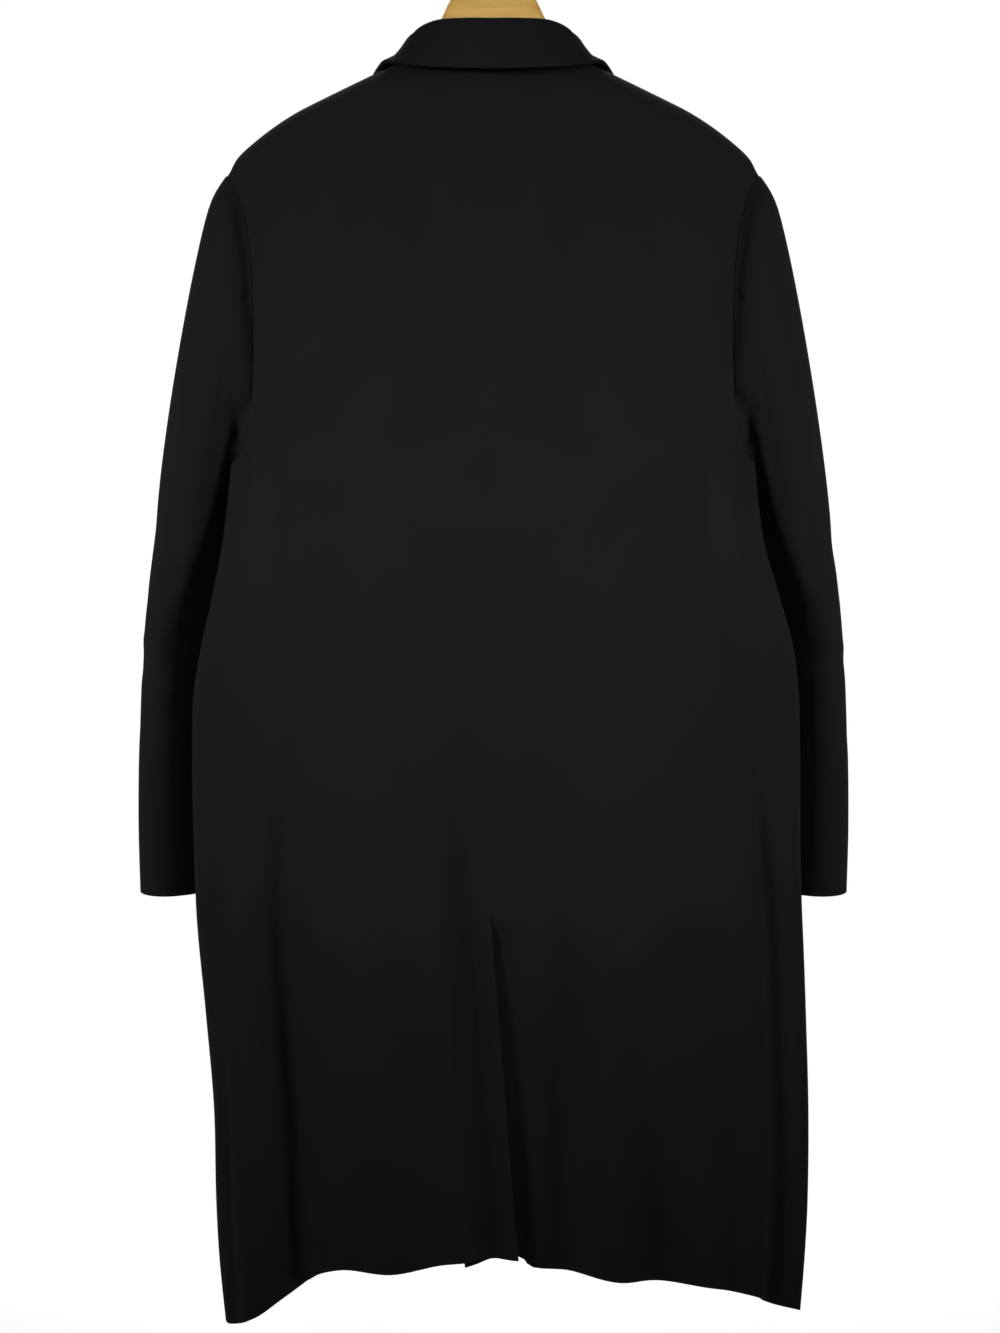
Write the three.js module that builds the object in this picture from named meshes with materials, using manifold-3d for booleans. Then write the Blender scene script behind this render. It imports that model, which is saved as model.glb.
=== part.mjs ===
// A man's long wool overcoat hanging on a shaped wooden hanger. Millimetres, +Z up.
// +X is the wearer's left, the front faces -Y, and the origin is the inside top of the hook's crook.
// Inside the coat group, height 0 is the level of the pattern's neck point, below the hook.

import * as THREE from 'three';
import Module from 'manifold-3d';
import { mergeVertices } from 'three/addons/utils/BufferGeometryUtils.js';

// ---------------------------------------------------------------- driving sizes

const neckDrop = 158;              // inside top of the hook down to the coat's height 0
const clothThickness = 2.4;        // outer wool with what backs it
const collarThickness = 3.2;
const seamGap = 0.3;               // between two pieces that are sewn together
const layGap = 1.0;                // between a piece and the one it lies on

const shoulder = {
  neckX: 83,                       // half the neck opening, at the shoulder seam
  neckZ: 12,
  tipX: 243,                       // half the shoulder width
  slope: 0.505,                    // fall of the seam for each mm outwards
  middleRound: 35,                 // rounds the ridge where the two slopes would meet
  roundFrom: 165,                  // the pad's rounding begins here
  roundRate: 0.0034,
};

const underarm = { z: -345, x: 232 };
const armholeScoop = { back: 20, front: 28, power: 0.8 };   // how far it bows in from a straight line
const armholeRise = 0.93;          // how square the section is at the shoulder tip
const armholeLean = 0.375;         // how far the cloth faces outwards along the armhole
const nape = { z: -3, power: 2.5 };   // the neckline at the centre back, and how late it rises

// Depth of the hanging cloth: depth * sqrt(t / (t + ease)), t mm below the shoulder ridge.
const backDepth = { depth: 97, ease: 180 };
const frontDepth = { depth: 106, ease: 170 };
const sideLine = { y: 30, reach: 300 };         // the side seam hangs towards the back
const backSquareness = 0.8;        // below 1 the back's section is flatter than an ellipse

// Outline below the underarm: half widths at the wearer's left and right, and the centre line.
const outline = [
  { z: -345, left: 232, right: 232, centre: 0 },
  { z: -418, left: 240, right: 240, centre: 2 },
  { z: -472, left: 250, right: 255, centre: 3 },
  { z: -517, left: 260, right: 267, centre: 4 },
  { z: -570, left: 267, right: 272, centre: 4 },
  { z: -742, left: 264, right: 273, centre: 2 },
  { z: -841, left: 255, right: 276, centre: -5 },
  { z: -922, left: 248, right: 278, centre: -12 },
  { z: -1003, left: 246, right: 277, centre: -18 },
  { z: -1057, left: 243, right: 274, centre: -23 },
  { z: -1115, left: 237, right: 269, centre: -25 },
];

// Height of the hem around the coat. Angle 0 is the centre back, 90 the left side, 180 the front.
const hem = [
  { angle: -180, z: -1078 },
  { angle: -135, z: -1084 },
  { angle: -90, z: -1101 },
  { angle: -72, z: -1095 },
  { angle: -52, z: -1079 },
  { angle: -35, z: -1067 },
  { angle: -15, z: -1060 },
  { angle: -4, z: -1056 },
  { angle: 0, z: -1048 },
  { angle: 14, z: -1052 },
  { angle: 25, z: -1061 },
  { angle: 36, z: -1056 },
  { angle: 48, z: -1071 },
  { angle: 60, z: -1100 },
  { angle: 78, z: -1111 },
  { angle: 92, z: -1108 },
  { angle: 120, z: -1094 },
  { angle: 150, z: -1080 },
  { angle: 180, z: -1078 },
];

// Soft folds. Each starts at zStart, is full at zFull, and drifts from one angle to another.
const folds = [
  { name: 'left trough', from: 45, to: 49, width: 7.5, depth: -19, zStart: -500, zFull: -930 },
  { name: 'left ridge', from: 58, to: 62, width: 7.5, depth: 9, zStart: -560, zFull: -930 },
  { name: 'left lobe', from: 25, to: 26, width: 12, depth: 8, zStart: -180, zFull: -500 },
  { name: 'centre hollow', from: 1, to: 0, width: 10, depth: -8, zStart: -220, zFull: -640 },
  { name: 'right lobe', from: -27, to: -24, width: 13, depth: 8, zStart: -180, zFull: -500 },
  { name: 'right trough', from: -52, to: -66, width: 7.5, depth: -14, zStart: -460, zFull: -790 },
  { name: 'right hem trough', from: -26, to: -28, width: 7, depth: -7, zStart: -820, zFull: -1000 },
  { name: 'right hem ridge', from: -38, to: -39, width: 7, depth: 5, zStart: -820, zFull: -1000 },
  { name: 'left front trough', from: 132, to: 128, width: 9, depth: -9, zStart: -520, zFull: -960 },
  { name: 'left front ridge', from: 150, to: 146, width: 9, depth: 5, zStart: -600, zFull: -980 },
  { name: 'right front trough', from: -130, to: -127, width: 9, depth: -8, zStart: -500, zFull: -940 },
  { name: 'right front ridge', from: -149, to: -144, width: 9, depth: 5, zStart: -640, zFull: -980 },
];

const foldSideways = 0.5;          // share of a fold's depth that also moves the cloth sideways

const vent = {
  top: -747,                       // the centre back seam opens here
  lapWidth: 42,                    // of the right panel's edge, under the left one
  lapTopBelow: 24,                 // the underlap's top edge starts this far below the opening
  insetTop: 4.6,                   // how deep the underlap lies, near its top and at the hem
  insetHem: 13,
  lapDrop: 8,                      // its corner hangs lower than the left panel's
  runIn: 9,                        // degrees over which the right panel dips under
};

const front = {
  lap: 35,                         // how far each front edge passes the centre
  breakZ: -345,                    // the lapel begins to turn here
  insetTop: 9.5,                   // how deep the right front lies under the left one, with its lapel
  insetHem: 5,                     // and below the lapels
  insetEase: 90,
  clearOf: 8,                      // it is at full depth this far outside the left front's edge
  runIn: 75,                       // mm over which it dips under
};
const frontEdge = [                // neckline and roll line of a front panel, from the neck point down
  { z: 12, x: 83.15 },
  { z: -17, x: 67 },
  { z: -46, x: 54 },
  { z: -345, x: -35 },
];

// Collar: guide points from the centre back to the gorge, for the left half.
const collarFold = [               // the top of the turned collar
  { x: 0, y: 43, z: 40.5 },
  { x: 26, y: 41, z: 41 },
  { x: 50, y: 34, z: 41 },
  { x: 67, y: 19, z: 37 },
  { x: 76, y: -3, z: 28 },
  { x: 75, y: -24, z: 17 },
  { x: 67, y: -45, z: -9 },
  { x: 54, y: -60, z: -46 },
];
const collarEdge = [               // the lower edge of the fall
  { x: 0, y: 53, z: -7 },
  { x: 32, y: 51.5, z: -6 },
  { x: 64, y: 41, z: -2 },
  { x: 87, y: 23, z: 4 },
  { x: 101, y: -3, z: 6 },
  { x: 114, y: -24, z: -7 },
  { x: 126, y: -38, z: -26 },
  { x: 133, y: -48, z: -50 },
];
const notch = { x: 99, z: -76 };   // where collar and lapel meet at the gorge
const gorgeGap = 0.9;              // between the collar's end and the lapel's top, along the gorge
const lapelCorner = { x: 139, z: -93 };
const lapel = { foldRadius: 4.2, lift: 1.5, belly: 9, endZ: -338, endWidth: 9, notchAt: 0.6 };
const lapelEase = { leaf: 0.7, gorge: 3 };     // how soon the leaf lies flat, and the gorge's bend fades
const collar = { foldRadius: 5.6, footGap: 0.9, swell: 1.5, notchAt: 0.6 };
const collarBlend = {              // shares of the way from the centre back to the gorge
  lies: { from: 0.55, over: 0.45 },     // the stand turns over until it lies on the front
  sewnOn: { from: 0.3, over: 0.25 },    // its foot steps back behind the seam
  flat: { from: 0.5, over: 0.35 },      // its top comes down to the fold's own height
};
const blendAt = (s, { from, over }) => smooth((s - from) / over);

const button = { radius: 14, thickness: 4.5, rimWidth: 3, recess: 1.1, holeRadius: 1.3, holeApart: 2.6 };
const buttonHeights = [-362, -480, -598];

// Sleeve sections below the armhole, for the left sleeve; a turn swings the back edge outwards.
const sleeve = [
  { z: -385, x: 269, y: -27, lateral: 33, foreAft: 66, turn: 14 },
  { z: -425, x: 274, y: -38, lateral: 31, foreAft: 66, turn: 17 },
  { z: -470, x: 280, y: -49, lateral: 31, foreAft: 65, turn: 18 },
  { z: -504, x: 284, y: -56, lateral: 31, foreAft: 63, turn: 18 },
  { z: -524, x: 286, y: -59, lateral: 31, foreAft: 62, turn: 18 },
  { z: -542, x: 287, y: -61, lateral: 31, foreAft: 61, turn: 17 },
  { z: -570, x: 289, y: -65, lateral: 32, foreAft: 60, turn: 16 },
  { z: -620, x: 292, y: -71, lateral: 33, foreAft: 58, turn: 14 },
  { z: -680, x: 293, y: -77, lateral: 34, foreAft: 56, turn: 12 },
  { z: -738, x: 293, y: -82, lateral: 34, foreAft: 54, turn: 10 },
];
const sleeveCap = { rings: 5, outReach: 0.2, downReach: 0.95 };
const cuffSlope = 8;               // the cuff's back edge is this much lower than its front edge
const elbowFold = { z: -524, height: 13, depth: 5, angle: 105, width: 40 };
const sleeveSeams = { back: 8, front: 17 };     // loop points where top and under sleeve meet

const hanger = {
  reach: 206,                      // half the span of the arms
  below: 7.5,                      // the wood's top lies this far under the shoulder ridge
  height: 36,
  arch: 8,                         // the underside rises this much at the middle
  halfDepth: 13,
  neckTop: 88,
  neckSlim: 60,                    // above this height the neck is thinner
  tipRound: 16,
  boreRadius: 2.3,
  slimShare: 0.86,
  corner: 0.75,                    // below 1 the section is squarer than an ellipse
  crowding: 0.38,                  // of the sections towards the neck and the tips
};
const hangerNeck = [               // top of the wood beside the hook
  { x: 0, z: 88 },
  { x: 18, z: 87 },
  { x: 30, z: 80 },
  { x: 39, z: 67 },
  { x: 46, z: 52 },
  { x: 56, z: 34 },
  { x: 70, z: 18 },
];
const hook = { wire: 2, crookRadius: 20, stemInWood: 34, bendBelow: 14, startAngle: 215, endAngle: -30 };
const hookStep = 20;               // degrees between the crook's guide points

// How finely the pieces are divided. The front has two thirds of the back's columns.
const cells = { back: 18, front: 12, upper: 12, lower: 13, underlap: 2 };
const rowCrowding = 1.8;           // rows lie closer together near the shoulder

const colours = {
  cloth: 0x18181a,
  button: 0x141414,
  wood: 0xc8a050,
  steel: 0xb9bcc0,
};

// ---------------------------------------------------------------- small helpers

const vec = (x, y, z) => new THREE.Vector3(x, y, z);
const clamp01 = (s) => Math.min(1, Math.max(0, s));
const smooth = (s) => clamp01(s) ** 2 * (3 - 2 * clamp01(s));
const lerp = (a, b, s) => a + (b - a) * s;
const radians = (degrees) => degrees * Math.PI / 180;

// Value of one named column of a table at a key, with smooth cubic steps between the rows.
function tableAt(table, key, column, at) {
  const rising = table[table.length - 1][key] > table[0][key];
  const rows = rising ? table : [...table].reverse();
  const last = rows.length - 1;
  const place = Math.min(Math.max(at, rows[0][key]), rows[last][key]);
  let i = 0;
  while (i < last - 1 && rows[i + 1][key] < place) i += 1;
  const slope = (k) => {
    const a = rows[Math.max(k - 1, 0)];
    const b = rows[Math.min(k + 1, last)];
    return (b[column] - a[column]) / (b[key] - a[key]);
  };
  const [p, q] = [rows[i], rows[i + 1]];
  const span = q[key] - p[key];
  const s = (place - p[key]) / span;
  const [s2, s3] = [s * s, s * s * s];
  return p[column] * (2 * s3 - 3 * s2 + 1) + q[column] * (3 * s2 - 2 * s3)
    + slope(i) * span * (s3 - 2 * s2 + s) + slope(i + 1) * span * (s3 - s2);
}

// A smooth curve through guide points, as a function of 0 to 1.
function guide(points) {
  const curve = new THREE.CatmullRomCurve3(points.map((p) => vec(p.x, p.y, p.z)), false, 'centripetal');
  return (s) => curve.getPointAt(clamp01(s));
}

// ---------------------------------------------------------------- the coat's surface

// Height of the shoulder ridge at a distance from the centre: a soft roof with rounded tips.
function ridgeZ(x) {
  const away = Math.abs(x);
  const run = Math.hypot(away, shoulder.middleRound) - Math.hypot(shoulder.neckX, shoulder.middleRound);
  return shoulder.neckZ - shoulder.slope * run
    - shoulder.roundRate * Math.max(0, away - shoulder.roundFrom) ** 2;
}

// Top of the back panel: the shoulder ridge, or the neckline inside the neck point.
function backTopZ(x) {
  const share = Math.abs(x) / neckPlace;
  return share < 1 ? lerp(nape.z, ridgeZ(neckPlace), share ** nape.power) : ridgeZ(x);
}

// A row is 0 at the underarm, rises to 1 at the shoulder and falls to -1 at the hem.
function rowZ(row, x, angle, isBack) {
  if (row < 0) return lerp(underarm.z, tableAt(hem, 'angle', 'z', angle), -row);
  return lerp(underarm.z, isBack ? backTopZ(x) : ridgeZ(x), row);
}

// Armhole edge at a row above the underarm: its distance from the centre, scooped like a bow.
function armholeX(row, isBack) {
  const straight = lerp(underarm.x, shoulder.tipX, row);
  const scoop = isBack ? armholeScoop.back : armholeScoop.front;
  return straight - scoop * Math.sin(Math.PI * row) ** armholeScoop.power;
}

// How far the section at a row has come forward from the side line at the armhole, 0 to 1.
const armholeShare = (row) => armholeRise * Math.sqrt(1 - (1 - row) ** 3);

// Half width that the section at a row would have if it ran on to its side line.
function fullHalfWidth(row, isBack, isLeft, z) {
  if (row < 0) {
    const centre = tableAt(outline, 'z', 'centre', z);
    const half = tableAt(outline, 'z', isLeft ? 'left' : 'right', z);
    return isLeft ? half - centre : half + centre;
  }
  return armholeX(row, isBack) / Math.sin(armholeAngle(row));
}

// Angle across the section at which the armhole cuts it, in radians.
function armholeAngle(row) {
  return Math.acos(Math.min(1, armholeShare(row)) ** (1 / backSquareness));
}

// The neck point: the shoulder seam takes the outer two thirds of the back panel's columns.
const tipAngle = armholeAngle(1);
const neckPlace = shoulder.tipX * Math.sin(tipAngle / 3) / Math.sin(tipAngle);

const depthAt = (shape, t) => shape.depth * Math.sqrt(t / (t + shape.ease));

// Y of the cloth at a share across the section, t mm below the ridge.
function surfaceY(share, t, isBack) {
  const drop = Math.max(t, 0);
  const side = sideLine.y * smooth(drop / sideLine.reach);
  const cosine = Math.sqrt(Math.max(0, 1 - share * share));
  if (isBack) return side + (depthAt(backDepth, drop) - side) * cosine ** backSquareness;
  return side - (depthAt(frontDepth, drop) + side) * cosine;
}

// Sum of the soft folds at an angle and a height: each is a bell across and eases in downwards.
function foldDepth(angle, z) {
  let depth = 0;
  for (const fold of folds) {
    const grown = smooth((z - fold.zStart) / (fold.zFull - fold.zStart));
    const middle = lerp(fold.from, fold.to, grown);
    depth += fold.depth * grown * Math.exp(-(((angle - middle) / fold.width) ** 2));
  }
  return depth;
}

// A point of the cloth's outer face on the back or the front, at a row and a sideways place.
// Above the underarm the place is x in mm; below, it is the sine of the angle round the section.
function bodyPoint(isBack, row, place) {
  if (row >= 0) {
    const z = rowZ(row, place, 0, isBack);
    const half = fullHalfWidth(row, isBack, place >= 0, z);
    const y = surfaceY(place / half, ridgeZ(place) - z, isBack);
    const angle = degreesOf(place / half, isBack);
    return vec(place, y + Math.cos(radians(angle)) * foldDepth(angle, z), z);
  }
  const angle = degreesOf(place, isBack);
  const z = rowZ(row, 0, angle, isBack);
  const half = fullHalfWidth(row, isBack, place >= 0, z);
  const x = tableAt(outline, 'z', 'centre', z) + half * place;
  const y = surfaceY(place, ridgeZ(underarm.x * place) - z, isBack);
  const depth = foldDepth(angle, z);
  const turn = radians(angle);
  return vec(x + depth * Math.sin(turn) * foldSideways, y + depth * Math.cos(turn), z);
}

// The angle round the body, 0 at the centre back and 90 at the left side, for a sine across it.
function degreesOf(sine, isBack) {
  const angle = Math.asin(Math.min(1, Math.max(-1, sine))) * 180 / Math.PI;
  if (isBack) return angle;
  return sine >= 0 ? 180 - angle : -180 - angle;
}

// Rows from the shoulder down to the hem, closer together near the shoulder.
const rows = [];
for (let i = 0; i <= cells.upper; i += 1) rows.push(1 - (i / cells.upper) ** rowCrowding);
for (let i = 1; i <= cells.lower; i += 1) rows.push(-i / cells.lower);

// ---------------------------------------------------------------- walls from grids

// Unit direction square to an edge's run, as near as can be to a wanted direction.
function squareTo(run, wanted) {
  const along = run.clone().normalize();
  return wanted.clone().addScaledVector(along, -wanted.dot(along)).normalize();
}

// Normals of a grid of points from the cross product of its two runs; 'side' is 1 or -1.
function gridNormals(grid, side, isClosed = false) {
  const last = grid[0].length - 1;
  return grid.map((line, i) => line.map((_, j) => {
    const above = grid[Math.max(i - 1, 0)][j];
    const below = grid[Math.min(i + 1, grid.length - 1)][j];
    const left = isClosed && j === 0 ? line[last - 1] : line[Math.max(j - 1, 0)];
    const right = isClosed && j === last ? line[1] : line[Math.min(j + 1, last)];
    const down = below.clone().sub(above);
    return right.clone().sub(left).cross(down).normalize().multiplyScalar(side);
  }));
}

// Moves a point off a seam by half the seam's gap, towards its neighbour inside the piece.
function offSeam(point, run, normal, inner) {
  const across = run.clone().cross(normal).normalize();
  if (across.dot(inner.clone().sub(point)) < 0) across.negate();
  return point.clone().addScaledVector(across, seamGap / 2);
}

// A closed wall: the grid's points, the same points moved in by the thickness, and rims.
// 'has' says which cells exist; 'side' is 1 where the outward normal is right-run x down-run.
function wallGeometry(grid, normals, thickness, side, has = () => true) {
  const columns = grid[0].length;
  const count = grid.length * columns;
  const positions = [];
  for (const inset of [0, thickness]) {
    grid.forEach((line, i) => line.forEach((p, j) => {
      const q = p.clone().addScaledVector(normals[i][j], -inset);
      positions.push(q.x, q.y, q.z);
    }));
  }
  const indices = [];
  const quad = (a, b, c, d) => {
    if (side > 0) indices.push(a, b, c, a, c, d);
    else indices.push(a, c, b, a, d, c);
  };
  const cellIn = (i, j) => i >= 0 && j >= 0 && i < grid.length - 1 && j < columns - 1 && has(i, j);
  for (let i = 0; i < grid.length - 1; i += 1) {
    for (let j = 0; j < columns - 1; j += 1) {
      if (!cellIn(i, j)) continue;
      const a = i * columns + j;
      const [b, c, d] = [a + 1, a + columns + 1, a + columns];
      quad(a, b, c, d);
      quad(d + count, c + count, b + count, a + count);
      if (!cellIn(i - 1, j)) quad(b, a, a + count, b + count);
      if (!cellIn(i + 1, j)) quad(d, c, c + count, d + count);
      if (!cellIn(i, j - 1)) quad(d, d + count, a + count, a);
      if (!cellIn(i, j + 1)) quad(c, b, b + count, c + count);
    }
  }
  const geometry = new THREE.BufferGeometry();
  geometry.setAttribute('position', new THREE.Float32BufferAttribute(positions, 3));
  geometry.setIndex(indices);
  return mergeVertices(dropUnused(geometry), 1e-3);
}

// Leaves out grid points that no face uses.
function dropUnused(geometry) {
  const flat = geometry.toNonIndexed();
  flat.deleteAttribute('normal');
  return flat;
}

// ---------------------------------------------------------------- back and front panels

// How deep a right-hand edge lies under the left one that laps over it.
function ventInset(angle, z) {
  if (z > vent.top) return 0;
  const down = (vent.top - z) / (vent.top - hem[0].z);
  const depth = lerp(vent.insetTop, vent.insetHem, clamp01(down)) * smooth((vent.top - z) / vent.lapTopBelow);
  return depth * smooth((angle + vent.runIn) / (vent.runIn - 1));
}

// Sideways place of the front panel's inner edge at a height: neckline, roll line, then front edge.
function frontEdgeX(z) {
  return z < front.breakZ ? -front.lap : tableAt(frontEdge, 'z', 'x', z);
}

function frontInset(x, z) {
  const lean = z < underarm.z ? tableAt(outline, 'z', 'centre', z) : 0;
  const past = (x - lean - frontEdgeX(z) + front.clearOf + front.runIn) / front.runIn;
  const depth = lerp(front.insetTop, front.insetHem, smooth((front.breakZ - z) / front.insetEase));
  return depth * smooth(past);
}

// Back panel on one side, 1 for the wearer's left and -1 for the right, from the centre outwards.
function backGrid(side, row) {
  const columns = [];
  for (let j = 0; j <= cells.back; j += 1) {
    const share = j / cells.back;
    const angle = (row >= 0 ? armholeAngle(row) : Math.PI / 2) * share;
    const scale = row >= 0 ? fullHalfWidth(row, true, true, 0) : 1;
    columns.push(bodyPoint(true, row, side * scale * Math.sin(angle)));
  }
  return columns;
}

// Front panel on one side, from its inner edge outwards to the armhole and the side seam.
function frontGrid(side, row) {
  const columns = [];
  const scale = row >= 0 ? fullHalfWidth(row, false, true, 0) : 1;
  const outer = row >= 0 ? armholeAngle(row) : Math.PI / 2;
  let inner = front.lap / underarm.x;
  for (let pass = 0; pass < 12; pass += 1) {
    const trial = bodyPoint(false, row, side * scale * inner);
    const wanted = frontEdgeX(trial.z) + (row < 0 ? side * tableAt(outline, 'z', 'centre', trial.z) : 0);
    inner += (wanted - side * trial.x) / (row >= 0 ? scale : underarm.x);
  }
  for (let j = 0; j <= cells.front; j += 1) {
    const angle = lerp(Math.asin(inner), outer, j / cells.front);
    const point = bodyPoint(false, row, side * scale * Math.sin(angle));
    if (side < 0) point.y += frontInset(point.x, point.z);
    columns.push(point);
  }
  return columns;
}

// The armhole as a loop of points: from the shoulder tip down the back, then up the front.
function armholeLoop(side, backPanel, frontPanel) {
  const down = backPanel.slice(0, cells.upper + 1).map((line) => line[cells.back]);
  const up = frontPanel.slice(1, cells.upper).map((line) => line[cells.front]).reverse();
  const points = [...down, ...up];
  const count = points.length;
  return points.map((point, k) => {
    const run = points[(k + 1) % count].clone().sub(points[(k + count - 1) % count]);
    const away = vec(1, 0, 0).cross(run).normalize();
    const lean = armholeLean * (1 + away.z);
    const normal = squareTo(run, away.addScaledVector(vec(side, 0, 0), lean));
    const across = run.clone().cross(normal).normalize();
    if (across.x * side < 0 && Math.abs(across.x) > 0.02) across.negate();
    return { point, run, normal, across };
  });
}

// Sets a panel's normals and half gaps along its seams. Loop points come as { normal, across }.
function finishPanel(grid, side, panelSide, loop, seams) {
  const normals = gridNormals(grid, panelSide);
  const points = grid.map((line) => line.map((p) => p.clone()));
  const last = grid[0].length - 1;
  const top = seams.shoulderFrom;
  for (let j = top; j <= last; j += 1) {
    const run = grid[0][Math.min(j + 1, last)].clone().sub(grid[0][Math.max(j - 1, top)]);
    normals[0][j] = squareTo(run, vec(0, 0, 1));
    points[0][j] = offSeam(points[0][j], run, normals[0][j], grid[1][j]);
  }
  for (let i = 0; i < grid.length; i += 1) {
    const run = grid[Math.min(i + 1, grid.length - 1)][last].clone().sub(grid[Math.max(i - 1, 0)][last]);
    if (i <= cells.upper) {
      normals[i][last] = loop[i].normal.clone();
      points[i][last].addScaledVector(loop[i].across, -seamGap / 2);
    } else {
      normals[i][last] = squareTo(run, vec(side, 0, 0));
    }
    if (i >= cells.upper) {
      const sideways = grid[i][last - 1].clone().sub(grid[i][last]).normalize();
      points[i][last].addScaledVector(squareTo(run, sideways), seamGap / 2);
    }
    if (seams.centre) {
      const centreRun = grid[Math.min(i + 1, grid.length - 1)][0].clone().sub(grid[Math.max(i - 1, 0)][0]);
      normals[i][0] = squareTo(centreRun, vec(0, 1, 0));
      points[i][0] = offSeam(points[i][0], centreRun, normals[i][0], grid[i][1]);
    }
  }
  return { points, normals };
}

function backPanel(side) {
  return rows.map((row) => backGrid(side, row));
}

function frontPanel(side) {
  return rows.map((row) => frontGrid(side, row));
}

// The right back with the underlap of the vent: two more columns past the centre line, let in
// below the top of the opening, and the panel's own edge dipping under the left one.
function addUnderlap(finished) {
  const lapCells = cells.underlap;
  const { points, normals } = finished;
  const startRow = rows.findIndex((row) => row < 0 && rowZ(row, 0, 0, true) < vent.top - vent.lapTopBelow);
  const wide = points.map((line, i) => {
    const dipped = line.map((p, j) => {
      const angle = -90 * j / cells.back;
      return p.clone().addScaledVector(normals[i][j], -ventInset(rows[i] < 0 ? angle : -90, p.z));
    });
    const extra = [];
    for (let k = lapCells; k >= 1; k -= 1) {
      const row = Math.min(rows[i], -0.001);
      const place = vent.lapWidth * k / lapCells / underarm.x;
      const p = bodyPoint(true, row, place);
      p.y -= ventInset(0, Math.min(p.z, vent.top - 1));
      p.z -= vent.lapDrop * smooth(-row) ** 2 * k / lapCells;
      extra.push(p);
    }
    return [...extra, ...dipped];
  });
  const allNormals = wide.map((line, i) => {
    const own = normals[i];
    return line.map((_, j) => (j < lapCells ? own[0].clone() : own[j - lapCells].clone()));
  });
  return { points: wide, normals: allNormals, has: (i, j) => j >= lapCells || i >= startRow };
}

// ---------------------------------------------------------------- sleeves

// Point of a sleeve section: an ellipse turned so that its back edge swings outwards.
function sleevePoint(side, z, degrees) {
  const get = (column) => tableAt(sleeve, 'z', column, z);
  const [angle, turn] = [radians(degrees), radians(get('turn'))];
  const dent = elbowFold.depth * Math.exp(-(((z - elbowFold.z) / elbowFold.height) ** 2))
    * Math.exp(-(((degrees - elbowFold.angle) / elbowFold.width) ** 2));
  const across = (get('lateral') - dent) * Math.cos(angle);
  const along = (get('foreAft') - dent) * Math.sin(angle);
  const down = (sleeve[0].z - z) / (sleeve[0].z - sleeve[sleeve.length - 1].z);
  return vec(
    side * (get('x') + across * Math.cos(turn) + along * Math.sin(turn)),
    get('y') - across * Math.sin(turn) + along * Math.cos(turn),
    z - cuffSlope * smooth(down) * Math.sin(angle) / 2,
  );
}

// The whole sleeve: the cap swings from the armhole's slanted loop down to level sections.
function sleeveGrid(side, loop) {
  const count = loop.length;
  const grid = [loop.map((l) => l.point.clone().addScaledVector(l.across, seamGap / 2))];
  for (let r = 1; r <= sleeveCap.rings; r += 1) {
    const s = r / sleeveCap.rings;
    grid.push(loop.map((l, k) => {
      const end = sleevePoint(side, sleeve[0].z, 360 * k / count);
      const reach = end.distanceTo(l.point);
      const [s2, s3] = [s * s, s * s * s];
      return grid[0][k].clone().multiplyScalar(2 * s3 - 3 * s2 + 1)
        .addScaledVector(end, 3 * s2 - 2 * s3)
        .addScaledVector(l.across, (s3 - 2 * s2 + s) * reach * sleeveCap.outReach)
        .addScaledVector(vec(0, 0, -1), (s3 - s2) * reach * sleeveCap.downReach);
    }));
  }
  for (const section of sleeve.slice(1)) {
    grid.push(loop.map((_, k) => sleevePoint(side, section.z, 360 * k / count)));
  }
  grid.forEach((line) => line.push(line[0].clone()));
  return grid;
}

// One panel of a sleeve: the columns from one seam to the other, each seam half a gap in.
function sleevePanel(grid, normals, from, to) {
  const count = grid[0].length - 1;
  const pick = (line) => {
    const out = [];
    for (let k = from; k <= to; k += 1) out.push(line[k % count].clone());
    return out;
  };
  const points = grid.map(pick);
  const facing = normals.map(pick);
  const last = points[0].length - 1;
  const before = points.map((line) => line.map((p) => p.clone()));
  before.forEach((line, i) => {
    for (const [edge, inner] of [[0, 1], [last, last - 1]]) {
      const below = before[Math.min(i + 1, before.length - 1)][edge];
      const run = below.clone().sub(before[Math.max(i - 1, 0)][edge]);
      points[i][edge] = offSeam(line[edge], run, facing[i][edge], line[inner]);
    }
  });
  return { points, normals: facing };
}

// ---------------------------------------------------------------- lapels and collar

// The front's outer face at a place across and a height; the right one dips under the left.
function frontAt(x, z, side) {
  let point;
  if (z >= underarm.z) {
    point = bodyPoint(false, (z - underarm.z) / (ridgeZ(x) - underarm.z), x);
  } else {
    const centre = tableAt(outline, 'z', 'centre', z);
    const sine = (x - centre) / fullHalfWidth(-1, false, x >= centre, z);
    const hemZ = tableAt(hem, 'angle', 'z', degreesOf(sine, false));
    point = bodyPoint(false, (underarm.z - z) / (hemZ - underarm.z), sine);
  }
  if (side < 0) point.y += frontInset(x, z);
  return point;
}

function frontNormal(x, z, side) {
  const step = 2;
  const across = frontAt(x + step, z, side).sub(frontAt(x - step, z, side));
  const up = frontAt(x, z + step, side).sub(frontAt(x, z - step, side));
  return across.cross(up).normalize();
}

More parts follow.
